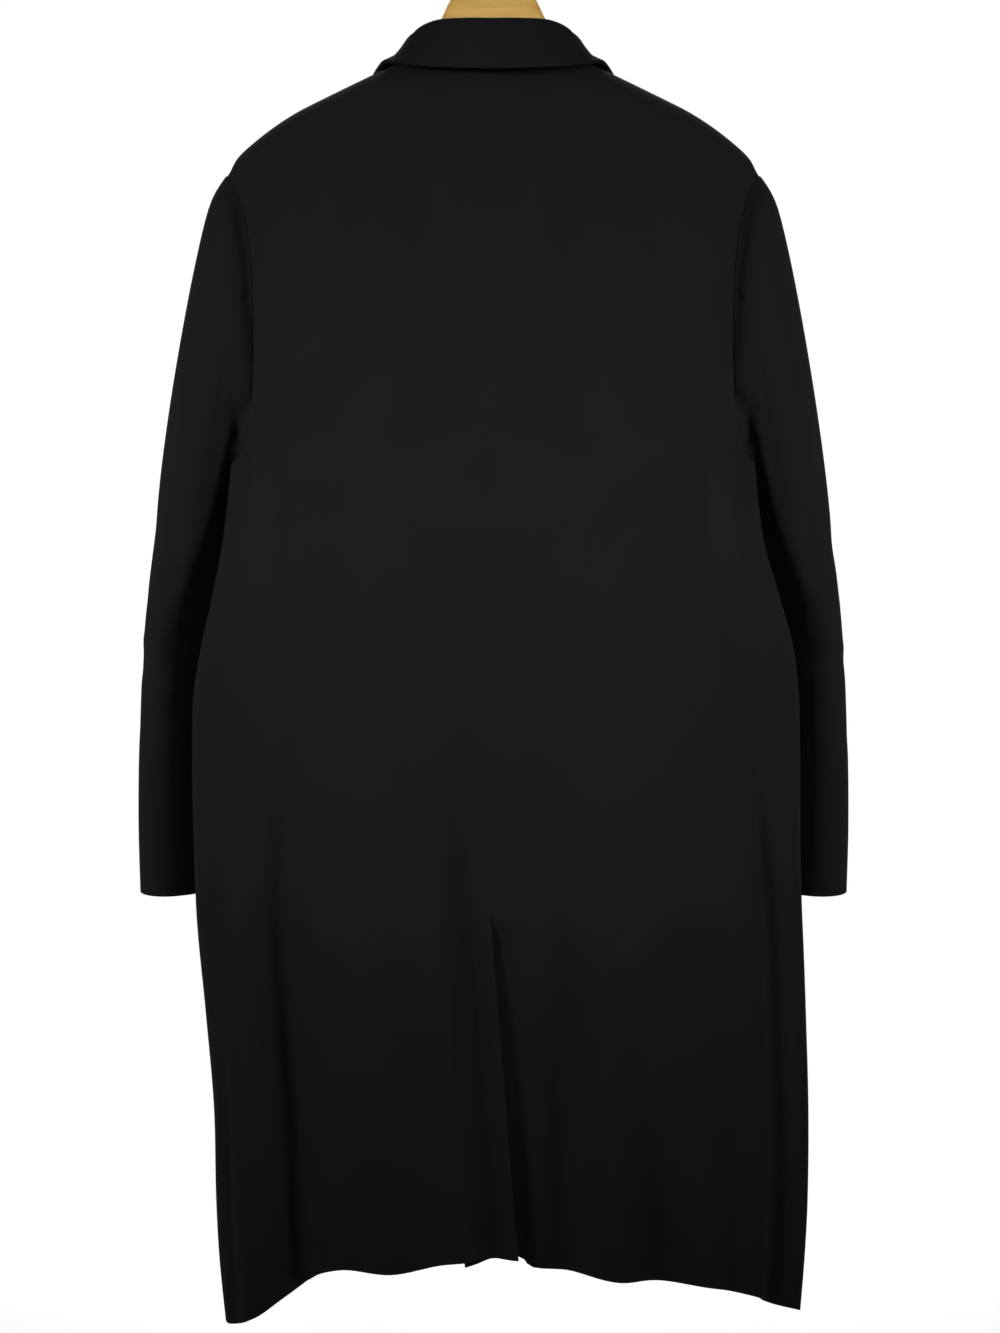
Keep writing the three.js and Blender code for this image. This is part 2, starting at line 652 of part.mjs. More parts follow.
// One lapel: each row starts at the panel's edge, rolls over on a round fold and lies on the front.
function lapelPiece(side) {
  const [rowsDown, foldSteps, leafSteps] = [12, 5, 5];
  const gorge = frontEdge[2];
  const end = { x: frontEdgeX(lapel.endZ), z: lapel.endZ };
  const flatHeight = clothThickness + lapel.lift;
  const foldHeight = 2 * lapel.foldRadius - clothThickness;
  const [points, normals] = [[], []];
  for (let i = 0; i <= rowsDown; i += 1) {
    const t = i / rowsDown;
    const roll = { z: lerp(gorge.z - seamGap / 2, end.z, t) };
    roll.x = frontEdgeX(roll.z);
    const edge = {
      x: lerp(lapelCorner.x, end.x + lapel.endWidth, t) + lapel.belly * Math.sin(Math.PI * t),
      z: lerp(lapelCorner.z, end.z, t),
    };
    const base = frontAt(side * roll.x, roll.z, side);
    const out = frontNormal(side * roll.x, roll.z, side);
    const reach = 1 / Math.hypot(edge.x - roll.x, edge.z - roll.z);
    const nearby = frontAt(side * lerp(roll.x, edge.x, reach), lerp(roll.z, edge.z, reach), side);
    const across = squareTo(out, nearby.sub(base));
    const [line, facing] = [[], []];
    for (let k = 0; k <= foldSteps; k += 1) {
      const angle = Math.PI * k / foldSteps;
      line.push(base.clone()
        .addScaledVector(across, -seamGap - lapel.foldRadius * Math.sin(angle))
        .addScaledVector(out, lapel.foldRadius * (1 - Math.cos(angle)) - clothThickness));
      facing.push(across.clone().multiplyScalar(-Math.sin(angle)).addScaledVector(out, -Math.cos(angle)));
    }
    for (let k = 1; k <= leafSteps; k += 1) {
      const q = k / leafSteps;
      const towardsNotch = q < lapel.notchAt ? q / lapel.notchAt : (1 - q) / (1 - lapel.notchAt);
      const bend = Math.max(0, 1 - lapelEase.gorge * t) * towardsNotch;
      const x = lerp(roll.x, edge.x, q) + bend * (notch.x - lerp(gorge.x, lapelCorner.x, lapel.notchAt));
      const z = lerp(roll.z, edge.z, q) + bend * (notch.z - lerp(gorge.z, lapelCorner.z, lapel.notchAt));
      const normal = frontNormal(side * x, z, side);
      const height = lerp(foldHeight, flatHeight, smooth(q / lapelEase.leaf));
      line.push(frontAt(side * x, z, side).addScaledVector(normal, height));
      facing.push(normal);
    }
    points.push(line);
    normals.push(facing);
  }
  return { points, normals };
}

// How far a point stands off the coat's shoulders, along their normal, with that normal.
function standOff(point) {
  const level = (p) => {
    const ridge = ridgeZ(p.x);
    const drop = Math.max(ridge - p.z, 0);
    const aside = sideLine.y * smooth(drop / sideLine.reach);
    const row = Math.min(1, (p.z - underarm.z) / (ridge - underarm.z));
    const cosine = Math.sqrt(1 - (p.x / fullHalfWidth(row, p.y > 0, true, 0)) ** 2);
    const shape = p.y > 0 ? backDepth : frontDepth;
    const depth = p.y > 0
      ? aside + (p.y - aside) / cosine ** backSquareness
      : (aside - p.y) / cosine - aside;
    const share = Math.min(0.95, (depth / shape.depth) ** 2);
    return p.z - ridge + shape.ease * share / (1 - share);
  };
  const step = 0.5;
  const slope = vec(
    level(point.clone().setX(point.x + step)) - level(point.clone().setX(point.x - step)),
    level(point.clone().setY(point.y + step)) - level(point.clone().setY(point.y - step)),
    level(point.clone().setZ(point.z + step)) - level(point.clone().setZ(point.z - step)),
  ).divideScalar(2 * step);
  return { distance: level(point) / slope.length(), normal: slope.normalize() };
}

function pushOut(point, height) {
  for (let pass = 0; pass < 6; pass += 1) {
    const { distance, normal } = standOff(point);
    if (distance >= height) break;
    point.addScaledVector(normal, height - distance);
  }
  return point;
}

// The seam that the collar is sewn to: the back neckline, then the front's edge to the gorge.
function neckSeam() {
  const points = [0, 0.36, 0.68, 0.9].map((s) => bodyPoint(true, 1, s * neckPlace));
  points.push(vec(neckPlace, 0, ridgeZ(neckPlace)));
  for (const z of [-2, -17, -32, frontEdge[2].z + gorgeGap]) points.push(frontAt(frontEdgeX(z), z, 1));
  return guide(points);
}

// The collar: a stand inside the neck, a round fold on top and the fall outside.
function collarPiece() {
  const [columns, standSteps, foldSteps, fallSteps] = [26, 3, 6, 5];
  const [seamAt, foldAt, edgeAt] = [neckSeam(), guide(collarFold), guide(collarEdge)];
  const count = standSteps + foldSteps + fallSteps;
  const half = [];
  const lowest = collarFold[collarFold.length - 1];
  for (let c = 0; c <= columns / 2; c += 1) {
    const s = 2 * c / columns;
    const [seam, top, edge] = [seamAt(s), foldAt(s), edgeAt(s)];
    const toFront = blendAt(s, collarBlend.lies);
    const up = vec(0, 0, 1).lerp(frontNormal(lowest.x, lowest.z, 1), toFront).normalize();
    const out = squareTo(up, edge.clone().sub(top));
    const flatTop = seam.clone().addScaledVector(up, 2 * collar.foldRadius - collarThickness)
      .addScaledVector(out, -collar.footGap);
    top.lerp(flatTop, blendAt(s, collarBlend.flat));
    const middle = top.clone().addScaledVector(up, -collar.foldRadius);
    const sewnOn = blendAt(s, collarBlend.sewnOn);
    const inside = out.clone().multiplyScalar(toFront - 1).addScaledVector(up, -toFront).normalize();
    const foot = seam.clone()
      .addScaledVector(up, collar.footGap * (1 - toFront))
      .addScaledVector(out, -collar.footGap * sewnOn)
      .addScaledVector(inside, collarThickness);
    const [line, facing] = [[], []];
    const start = middle.clone().addScaledVector(out, -collar.foldRadius);
    for (let k = 0; k < standSteps; k += 1) {
      line.push(foot.clone().lerp(start, k / standSteps));
      facing.push(inside.clone().lerp(out.clone().negate(), k / standSteps).normalize());
    }
    for (let k = 0; k <= foldSteps; k += 1) {
      const angle = Math.PI * k / foldSteps;
      const normal = out.clone().multiplyScalar(-Math.cos(angle)).addScaledVector(up, Math.sin(angle));
      line.push(middle.clone().addScaledVector(normal, collar.foldRadius));
      facing.push(normal);
    }
    const from = line[line.length - 1];
    for (let k = 1; k <= fallSteps; k += 1) {
      const q = k / fallSteps;
      const place = from.clone().lerp(edge, q);
      if (s === 1) {
        const bend = q < collar.notchAt ? q / collar.notchAt : (1 - q) / (1 - collar.notchAt);
        place.x += bend * (notch.x - lerp(from.x, edge.x, collar.notchAt));
        place.z += bend * (notch.z + gorgeGap - lerp(from.z, edge.z, collar.notchAt));
      }
      place.addScaledVector(out, collar.swell * Math.sin(Math.PI * q) * (1 - toFront));
      pushOut(place, collarThickness + layGap);
      line.push(place);
      facing.push(out.clone());
    }
    half.push({ line, facing });
  }
  const mirror = (p) => vec(-p.x, p.y, p.z);
  const all = [...half.slice(1).reverse().map(({ line, facing }) => ({
    line: line.map(mirror), facing: facing.map(mirror),
  })), ...half];
  const points = [];
  for (let i = 0; i <= count; i += 1) points.push(all.map((column) => column.line[i]));
  const measured = gridNormals(points, -1);
  const firstOfFall = standSteps + foldSteps;
  const normals = points.map((line, i) => line.map((_, j) => (
    i > firstOfFall ? measured[i][j] : all[j].facing[i])));
  return { points, normals };
}

// ---------------------------------------------------------------- buttons and hanger

const wasm = await Module();
wasm.setup();

function toManifold(geometry) {
  const flat = geometry.clone();
  for (const name of ['normal', 'uv']) flat.deleteAttribute(name);
  const merged = mergeVertices(flat, 1e-4);
  return new wasm.Manifold(new wasm.Mesh({
    numProp: 3,
    vertProperties: new Float32Array(merged.attributes.position.array),
    triVerts: new Uint32Array(merged.index.array),
  }));
}

function fromManifold(solid) {
  const { vertProperties, triVerts } = solid.getMesh();
  const geometry = new THREE.BufferGeometry();
  geometry.setAttribute('position', new THREE.BufferAttribute(new Float32Array(vertProperties), 3));
  geometry.setIndex(new THREE.BufferAttribute(new Uint32Array(triVerts), 1));
  return geometry;
}

// A round pin standing on Z, to cut holes with.
function pin(radius, height, sides) {
  return new THREE.CylinderGeometry(radius, radius, height, sides).rotateX(Math.PI / 2);
}

// A four-hole button, its face at +Z and its back at height 0.
function buttonGeometry() {
  const { radius, thickness, rimWidth, recess, holeRadius, holeApart } = button;
  const profile = [
    [0, 0], [radius - 1.4, 0], [radius, 1.6], [radius, thickness - 1.2], [radius - 1.2, thickness],
    [radius - rimWidth, thickness], [radius - rimWidth - 1, thickness - recess], [0, thickness - recess],
  ];
  const sides = 28;
  const outlinePoints = profile.map(([r, z]) => new THREE.Vector2(r, z));
  const disc = new THREE.LatheGeometry(outlinePoints, sides).rotateX(Math.PI / 2);
  let solid = toManifold(disc);
  for (const [x, y] of [[1, 1], [1, -1], [-1, 1], [-1, -1]]) {
    const hole = pin(holeRadius, 4 * thickness, 8).translate(x * holeApart, y * holeApart, 0);
    solid = solid.subtract(toManifold(hole));
  }
  return fromManifold(solid);
}

// Top of the wood: it follows the shoulders and rises to the neck under the hook.
function woodTop(x) {
  const away = Math.abs(x);
  const arm = ridgeZ(away) - hanger.below;
  const last = hangerNeck[hangerNeck.length - 1];
  return away < last.x ? Math.max(arm, tableAt(hangerNeck, 'x', 'z', away)) : arm;
}

// Spreads the sections: close together in the neck and at the tips.
function hangerStep(s) {
  const away = Math.abs(s);
  return Math.sign(s) * lerp(away, Math.sin(Math.PI / 2 * away ** 3), hanger.crowding);
}

// The hanger: rounded sections set along its span, closed by small end caps, bored for the hook.
function hangerGeometry() {
  const [sections, around] = [36, 14];
  const positions = [];
  const indices = [];
  for (let i = 0; i <= sections; i += 1) {
    const place = hanger.reach * hangerStep(2 * i / sections - 1);
    const tip = Math.sqrt(Math.max(0.02, 1 - Math.max(0, (Math.abs(place) - hanger.reach + hanger.tipRound)
      / hanger.tipRound) ** 2));
    const top = woodTop(place);
    const rise = hanger.arch * (1 - Math.abs(place) / hanger.reach) ** 2;
    const low = ridgeZ(place) - hanger.below - hanger.height + rise;
    const [middle, tall] = [(top + low) / 2, (top - low) / 2 * tip];
    const rounded = (v) => Math.sign(v) * Math.abs(v) ** hanger.corner;
    const thin = hanger.halfDepth * tip * (top > hanger.neckSlim ? hanger.slimShare : 1);
    for (let k = 0; k < around; k += 1) {
      const angle = 2 * Math.PI * k / around;
      const [c, s] = [Math.cos(angle), Math.sin(angle)];
      positions.push(place, thin * rounded(c), middle + tall * rounded(s));
    }
  }
  for (let i = 0; i < sections; i += 1) {
    for (let k = 0; k < around; k += 1) {
      const [a, b] = [i * around + k, i * around + (k + 1) % around];
      indices.push(a, b, b + around, a, b + around, a + around);
    }
  }
  for (let k = 1; k < around - 1; k += 1) {
    indices.push(0, k + 1, k);
    const end = sections * around;
    indices.push(end, end + k, end + k + 1);
  }
  const geometry = new THREE.BufferGeometry();
  geometry.setAttribute('position', new THREE.Float32BufferAttribute(positions, 3));
  geometry.setIndex(indices);
  const bore = pin(hanger.boreRadius, 2 * hook.stemInWood, 14).translate(0, 0, hanger.neckTop);
  return fromManifold(toManifold(geometry).subtract(toManifold(bore)));
}

// The hook: a straight stem, then round the crook, as one wire.
function hookGeometry() {
  const radius = hook.crookRadius + hook.wire;
  const middleZ = neckDrop - hook.crookRadius;
  const points = [];
  const stemTop = middleZ - radius - hook.bendBelow;
  const stemFoot = hanger.neckTop - hook.stemInWood + 1;
  for (const s of [0, 0.4, 0.8, 1]) points.push(vec(0, 0, lerp(stemFoot, stemTop, s)));
  for (let degrees = hook.startAngle; degrees >= hook.endAngle; degrees -= hookStep) {
    const angle = radians(degrees);
    points.push(vec(radius * Math.cos(angle), 0, middleZ + radius * Math.sin(angle)));
  }
  const path = new THREE.CatmullRomCurve3(points, false, 'centripetal');
  const section = new THREE.Shape();
  section.absarc(0, 0, hook.wire, 0, 2 * Math.PI);
  return new THREE.ExtrudeGeometry(section, {
    steps: 44, bevelEnabled: false, extrudePath: path, curveSegments: 5,
  });
}

// ---------------------------------------------------------------- the object

function material(colour, roughness, metalness) {
  return new THREE.MeshStandardMaterial({ color: colour, roughness, metalness });
}

const coat = new THREE.Group();

function addPiece(name, geometry, ownMaterial) {
  const mesh = new THREE.Mesh(geometry, ownMaterial);
  mesh.name = name;
  coat.add(mesh);
  return mesh;
}

function addCloth(name, piece, facing, thickness = clothThickness) {
  const geometry = wallGeometry(piece.points, piece.normals, thickness, facing, piece.has);
  addPiece(name, geometry, material(colours.cloth, 0.9, 0));
}

for (const [side, word] of [[1, 'left'], [-1, 'right']]) {
  const [backPoints, frontPoints] = [backPanel(side), frontPanel(side)];
  const loop = armholeLoop(side, backPoints, frontPoints);
  const frontLoop = [loop[0], ...loop.slice(cells.upper + 1).reverse(), loop[cells.upper]];

  const plainBack = finishPanel(backPoints, side, side, loop, { shoulderFrom: cells.back / 3, centre: true });
  const back = side < 0 ? addUnderlap(plainBack) : plainBack;
  addCloth(`back_${word}`, back, side);

  const panel = finishPanel(frontPoints, side, -side, frontLoop, { shoulderFrom: 0, centre: false });
  addCloth(`front_${word}`, panel, -side);

  addCloth(`lapel_${word}`, lapelPiece(side), -side);

  const tube = sleeveGrid(side, loop);
  const facing = gridNormals(tube, -side, true);
  facing[0] = [...loop, loop[0]].map((l) => l.normal.clone());
  for (const [part, from, to] of [
    ['top', sleeveSeams.front, sleeveSeams.back + loop.length],
    ['under', sleeveSeams.back, sleeveSeams.front],
  ]) {
    addCloth(`sleeve_${part}_${word}`, sleevePanel(tube, facing, from, to), -side);
  }
}

addCloth('collar', collarPiece(), -1, collarThickness);

buttonHeights.forEach((z, i) => {
  const x = z < underarm.z ? tableAt(outline, 'z', 'centre', z) : 0;
  const normal = frontNormal(x, z, 1);
  const mesh = addPiece(`button_${i + 1}`, buttonGeometry(), material(colours.button, 0.45, 0));
  mesh.position.copy(frontAt(x, z, 1).addScaledVector(normal, layGap));
  mesh.quaternion.setFromUnitVectors(vec(0, 0, 1), normal);
});

addPiece('hanger_body', hangerGeometry(), material(colours.wood, 0.5, 0));
addPiece('hanger_hook', hookGeometry(), material(colours.steel, 0.3, 1));

coat.position.z = -neckDrop;
export default coat;
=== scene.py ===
# Overcoat on a wooden hanger. Lengths in the tables are millimetres in the coat's own frame,
# with height 0 at the neck point; inFrame drops them below the hook and turns them into metres.
import math
import bpy
import numpy as np
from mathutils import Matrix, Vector


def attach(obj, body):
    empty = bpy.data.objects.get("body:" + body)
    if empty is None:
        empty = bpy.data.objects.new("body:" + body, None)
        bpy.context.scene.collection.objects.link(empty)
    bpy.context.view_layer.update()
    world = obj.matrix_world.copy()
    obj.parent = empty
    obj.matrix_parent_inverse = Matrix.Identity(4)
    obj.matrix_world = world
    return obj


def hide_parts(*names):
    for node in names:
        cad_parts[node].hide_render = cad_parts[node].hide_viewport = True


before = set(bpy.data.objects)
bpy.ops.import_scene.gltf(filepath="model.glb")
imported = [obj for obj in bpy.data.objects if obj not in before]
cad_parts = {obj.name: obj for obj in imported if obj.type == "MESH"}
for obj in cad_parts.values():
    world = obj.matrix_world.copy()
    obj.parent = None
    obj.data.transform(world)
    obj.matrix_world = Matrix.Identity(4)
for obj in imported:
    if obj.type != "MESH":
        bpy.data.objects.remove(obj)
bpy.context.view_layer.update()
print("frame loaded:", len(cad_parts), "nodes")

neckDrop = 158.0        # inside top of the hook down to the coat's height 0
millimetre = 0.001
clothThickness = 2.4
collarThickness = 3.2
seamGap = 0.3
layGap = 1.0
tiny = 1e-9             # keeps a division by a length away from nought
leastAngle = 0.05       # keeps a division by an angle's sine away from nought
clothSharp, tubeSharp = 48, 60      # degrees between two faces from which their edge stays sharp


def smooth(s):          # 3s^2 - 2s^3, held between 0 and 1
    c = np.clip(s, 0.0, 1.0)
    return c * c * (3 - 2 * c)


def lerp(a, b, s):
    return a + (b - a) * s


def bell(s):            # e to the -s^2
    return np.exp(-s * s)


def cubic(first, last, leaving, arriving, s):       # from first to last with a run at each end
    return (first * (2 * s**3 - 3 * s**2 + 1) + last * (3 * s**2 - 2 * s**3)
            + leaving * (s**3 - 2 * s**2 + s) + arriving * (s**3 - s**2))


# value of a table's column at a key: cubic steps between rows, slopes from the rows beside
def tableAt(table, at, column=1):
    rows = np.array(sorted(table), dtype=float)
    keys, values = rows[:, 0], rows[:, column]
    slopes = np.empty(len(keys))
    slopes[1:-1] = (values[2:] - values[:-2]) / (keys[2:] - keys[:-2])
    slopes[0] = (values[1] - values[0]) / (keys[1] - keys[0])
    slopes[-1] = (values[-1] - values[-2]) / (keys[-1] - keys[-2])
    place = np.clip(at, keys[0], keys[-1])
    i = np.clip(np.searchsorted(keys, place, side="right") - 1, 0, len(keys) - 2)
    span = keys[i + 1] - keys[i]
    s = (place - keys[i]) / span
    return cubic(values[i], values[i + 1], slopes[i] * span, slopes[i + 1] * span, s)


def unit(v):            # each vector over its own length
    return v / np.maximum(np.linalg.norm(v, axis=-1, keepdims=True), tiny)


def squareTo(run, wanted):      # the wanted direction less its part along the run
    along = unit(run)
    return unit(wanted - along * np.sum(wanted * along, axis=-1, keepdims=True))


def gridRuns(points):           # differences to the neighbours across and down the grid
    return np.gradient(points, axis=1), np.gradient(points, axis=0)


def gridNormals(points, facing):    # across x down, turned outwards by facing
    across, down = gridRuns(points)
    return unit(np.cross(across, down)) * facing


def inFrame(points):    # lowered by the drop from hook to neck, in metres
    return (points.reshape(-1, 3) - (0, 0, neckDrop)) * millimetre


def turnsRound(count):  # angles spread evenly once round
    return np.linspace(0, 2 * np.pi, count, endpoint=False)


def addObject(name, data):
    obj = bpy.data.objects.new(name, data)
    bpy.context.scene.collection.objects.link(obj)
    return obj


# the coat's measures; its outline, hem, folds and creases follow as tables
coat = {
    "neckX": 83.0, "neckZ": 12.0, "tipX": 243.0, "slope": 0.505, "middleRound": 35.0,
    "roundFrom": 165.0, "roundRate": 0.0034, "underarmZ": -345.0, "underarmX": 232.0,
    "scoopBack": 20.0, "scoopFront": 28.0, "armholeRise": 0.93, "napeZ": -3.0,
    "backDepth": 97.0, "backEase": 180.0, "frontDepth": 106.0, "frontEase": 170.0,
    "sideY": 30.0, "sideReach": 300.0, "squareness": 0.8, "scoopPower": 0.8, "napePower": 2.5,
    "foldSideways": 0.5,
}
outline = [             # height, half width at the wearer's left, at the right, centre line
    (-345, 232, 232, 0), (-418, 240, 240, 2), (-472, 250, 255, 3), (-517, 260, 267, 4),
    (-570, 267, 272, 4), (-742, 264, 273, 2), (-841, 255, 276, -5), (-922, 248, 278, -12),
    (-1003, 246, 277, -18), (-1057, 243, 274, -23), (-1115, 237, 269, -25),
]
hemLine = [             # angle round the coat, height; 0 is the centre back, 90 the left side
    (-180, -1078), (-135, -1084), (-90, -1101), (-72, -1095), (-52, -1079), (-35, -1067),
    (-15, -1060), (-4, -1056), (0, -1048), (14, -1052), (25, -1061), (36, -1056), (48, -1071),
    (60, -1100), (78, -1111), (92, -1108), (120, -1094), (150, -1080), (180, -1078),
]
folds = [               # angle at the top, at the foot, width, depth, height it starts, is full
    (45, 49, 5.4, -30, -480, -900), (58, 62, 7, 9, -560, -930), (25, 26, 12, 9, -180, -480),
    (1, 0, 10, -8, -220, -640), (-27, -24, 13, 9, -180, -480), (-52, -66, 5.2, -19, -440, -780),
    (-68, -79, 6, 8, -480, -800), (-5, -9, 4.6, -8, -540, -760), (-9, -10, 5.0, -15, -780, -960),
    (-18, -19, 5, 8, -800, -960), (4, 5, 2.7, -13, -500, -820), (27, 22, 12, -20, -840, -1040),
    (-26, -29, 6, -12, -780, -980), (-39, -40, 6, 8, -780, -980), (132, 128, 9, -9, -520, -960),
    (150, 146, 9, 5, -600, -980), (-130, -127, 9, -8, -500, -940), (-149, -144, 9, 5, -640, -980),
]
creaseShare = 1.7       # how strongly the finer ones show
creases = [             # finer ones: angle at the top, at the foot, width, depth, top, middle, foot
    (41, 44, 3.2, -2.2, -640, -860, -1180), (53, 54, 2.8, 1.8, -700, -930, -1200),
    (14, 15, 4.0, -1.6, -700, -900, -1150), (-10, -14, 3.4, -2.6, -700, -860, -1060),
    (-6, -7, 2.6, 1.6, -730, -880, -1010), (-48, -45, 3.6, -1.8, -820, -990, -1180),
    (-20, -20, 3.0, 1.5, -860, -1000, -1180), (70, 72, 3.6, -2.2, -760, -980, -1200),
    (-76, -79, 3.4, -2.0, -640, -800, -1000), (62, 50, 4.4, -3.0, -150, -330, -560),
    (-60, -50, 4.2, -3.4, -130, -320, -600), (68, 60, 3.4, 1.8, -200, -360, -540),
    (-67, -58, 3.2, 2.0, -190, -350, -560), (33, 32, 5.0, 1.4, -300, -470, -700),
    (-35, -33, 5.0, 1.6, -260, -450, -700), (8, 6, 3.6, 1.2, -380, -560, -760),
    (118, 121, 4.0, -2.4, -560, -860, -1200), (140, 137, 4.0, 1.9, -640, -900, -1200),
    (-118, -120, 4.0, -2.2, -600, -880, -1200), (-139, -136, 3.6, -1.8, -700, -930, -1200),
]


def ridgeZ(x):          # shoulder height: a rounded roof, rounder still towards the tips
    away = np.abs(x)
    run = np.hypot(away, coat["middleRound"]) - math.hypot(coat["neckX"], coat["middleRound"])
    return (coat["neckZ"] - coat["slope"] * run
            - coat["roundRate"] * np.maximum(0, away - coat["roundFrom"]) ** 2)


def armholeX(row, isBack):      # a straight line from underarm to tip, scooped in like a bow
    scoop = coat["scoopBack"] if isBack else coat["scoopFront"]
    up = np.clip(row, 0, 1)
    bow = np.sin(np.pi * up).clip(0) ** coat["scoopPower"]
    return lerp(coat["underarmX"], coat["tipX"], up) - scoop * bow


def armholeAngle(row):  # where the armhole cuts the section, measured from the centre
    up = np.clip(row, 0, 1)
    share = coat["armholeRise"] * np.sqrt(1 - (1 - up) ** 3)
    return np.arccos(share ** (1 / coat["squareness"]))


tipAngle = float(armholeAngle(1.0))
neckPlace = coat["tipX"] * math.sin(tipAngle / 3) / math.sin(tipAngle)


def backTopZ(x):        # the neckline inside the neck point, the ridge outside it
    share = np.abs(x) / neckPlace
    inside = lerp(coat["napeZ"], float(ridgeZ(neckPlace)), np.minimum(share, 1) ** coat["napePower"])
    return np.where(share < 1, inside, ridgeZ(x))


def sectionHalf(row, isBack):       # half the width of a section whose armhole cuts it there
    return armholeX(row, isBack) / np.sin(np.maximum(armholeAngle(row), leastAngle))


def lowerHalf(isLeft, z):           # from the centre line to the outline on one side
    centre = tableAt(outline, z, 3)
    return np.where(isLeft, tableAt(outline, z, 1) - centre, tableAt(outline, z, 2) + centre)


def halfWidth(row, place, isBack, z):
    return np.where(row < 0, lowerHalf(place >= 0, z), sectionHalf(row, isBack))


def depthAt(depth, ease, t):    # depth times the root of t / (t + ease)
    drop = np.maximum(t, 0)
    return depth * np.sqrt(drop / (drop + ease))


def surfaceY(share, t, isBack):     # how far back or forward the section bulges
    side = coat["sideY"] * smooth(t / coat["sideReach"])
    cosine = np.sqrt(np.maximum(0, 1 - share**2))
    if isBack:
        bulge = depthAt(coat["backDepth"], coat["backEase"], t) - side
        return side + bulge * cosine ** coat["squareness"]
    return side - (depthAt(coat["frontDepth"], coat["frontEase"], t) + side) * cosine


def foldDepth(angle, z):        # sum of bells across that ease in downwards, and finer creases
    depth = np.zeros(np.broadcast(angle, z).shape)
    for first, last, width, height, start, full in folds:
        grown = smooth((z - start) / (full - start))
        depth += height * grown * bell((angle - lerp(first, last, grown)) / width)
    for first, last, width, height, top, middle, foot in creases:
        along = smooth(np.where(z > middle, (z - top) / (middle - top), (z - foot) / (middle - foot)))
        way = np.clip((z - top) / (foot - top), 0, 1)
        depth += creaseShare * height * along * bell((angle - lerp(first, last, way)) / width)
    return depth


def degreesOf(sine, isBack):    # angle round the body for a sine across it
    angle = np.degrees(np.arcsin(np.clip(sine, -1, 1)))
    return angle if isBack else np.where(sine >= 0, 180 - angle, -180 - angle)


# point of the cloth's outer face: above the underarm 'place' is x, below it the section's sine
def bodyPoint(isBack, row, place):
    row, place = np.broadcast_arrays(np.asarray(row, float), np.asarray(place, float))
    top = backTopZ(place) if isBack else ridgeZ(place)
    angleLow = degreesOf(place, isBack)
    z = np.where(row >= 0, lerp(coat["underarmZ"], top, row),
                 lerp(coat["underarmZ"], tableAt(hemLine, angleLow), -row))
    half = halfWidth(row, place, isBack, z)
    sine = np.where(row >= 0, place / half, place)
    angle = degreesOf(sine, isBack)
    ridge = np.where(row >= 0, ridgeZ(place), ridgeZ(coat["underarmX"] * place))
    depth = foldDepth(angle, z)
    turn = np.radians(angle)
    across = np.where(row >= 0, place, tableAt(outline, z, 3) + half * place)
    x = across + np.where(row < 0, depth * np.sin(turn) * coat["foldSideways"], 0)
    y = surfaceY(sine, ridge - z, isBack) + depth * np.cos(turn)
    return np.stack([x, y, z], axis=-1)


# rows from the shoulder to the hem, closer together near the shoulder
upperRows, lowerRows, rowCrowding = 60, 110, 1.8
rows = np.concatenate([1 - (np.arange(upperRows + 1) / upperRows) ** rowCrowding,
                       -np.arange(1, lowerRows + 1) / lowerRows])


clothObjects = {}       # the cloth walls by their nodes' names


# closed wall: the outer grid, the same grid moved in along its normals, and rims round the cells
# that exist; UVs hold the distance run across and down the cloth in metres
def putMesh(name, points, normals, thickness, facing, present=None):
    count, wide = points.shape[:2]
    if present is None:
        present = np.ones((count - 1, wide - 1), bool)
    total = count * wide
    index = np.arange(total).reshape(count, wide)
    a, b = index[:-1, :-1], index[:-1, 1:]
    c, d = index[1:, 1:], index[1:, :-1]
    faces = [np.stack([a, b, c, d], -1)[present], np.stack([d, c, b, a], -1)[present] + total]
    padded = np.pad(present, 1)
    sides = (-1, 0, b, a), (1, 0, d, c), (0, -1, a, d), (0, 1, c, b)
    for rowStep, columnStep, first, second in sides:
        beside = padded[1 + rowStep:rowStep + count, 1 + columnStep:columnStep + wide]
        rim = present & ~beside
        faces.append(np.stack([first, second, second + total, first + total], -1)[rim])
    quads = np.concatenate(faces)
    if facing < 0:
        quads = quads[:, ::-1]
    u, v = lengthAlong(points, 1), lengthAlong(points, 0)
    u = u - u[:, wide // 2:wide // 2 + 1]
    flat = np.tile(np.stack([u, -v], -1).reshape(-1, 2), (2, 1)) * millimetre
    place = inFrame(np.stack([points, points - normals * thickness]))
    used = np.unique(quads)
    renumber = np.full(2 * total, -1)
    renumber[used] = np.arange(len(used))
    return meshFrom(name, place[used], renumber[quads], flat[used])


# a mesh object at the origin from point, quad and UV arrays, smooth but for its sharp edges
def meshFrom(name, place, quads, flat):
    mesh = bpy.data.meshes.new(name)
    mesh.vertices.add(len(place))
    mesh.vertices.foreach_set("co", place.astype(np.float32).ravel())
    mesh.loops.add(quads.size)
    mesh.loops.foreach_set("vertex_index", quads.astype(np.int32).ravel())
    mesh.polygons.add(len(quads))
    mesh.polygons.foreach_set("loop_start", np.arange(0, quads.size, quads.shape[1], dtype=np.int32))
    mesh.update(calc_edges=True)
    mesh.validate()
    layer = mesh.uv_layers.new(name="cloth")
    layer.data.foreach_set("uv", flat[quads.ravel()].astype(np.float32).ravel())
    mesh.shade_smooth()
    mesh.set_sharp_from_angle(angle=math.radians(clothSharp))
    return addObject(name, mesh)


seam = {"depth": 0.7, "sleeveDepth": 0.6, "reach": 5.0, "armholeDepth": 14.0, "tipShare": 0.35,
        "deepestAt": 0.5, "endsBelow": 0.22, "bodyReach": 12.0, "sleeveReach": 21.0}


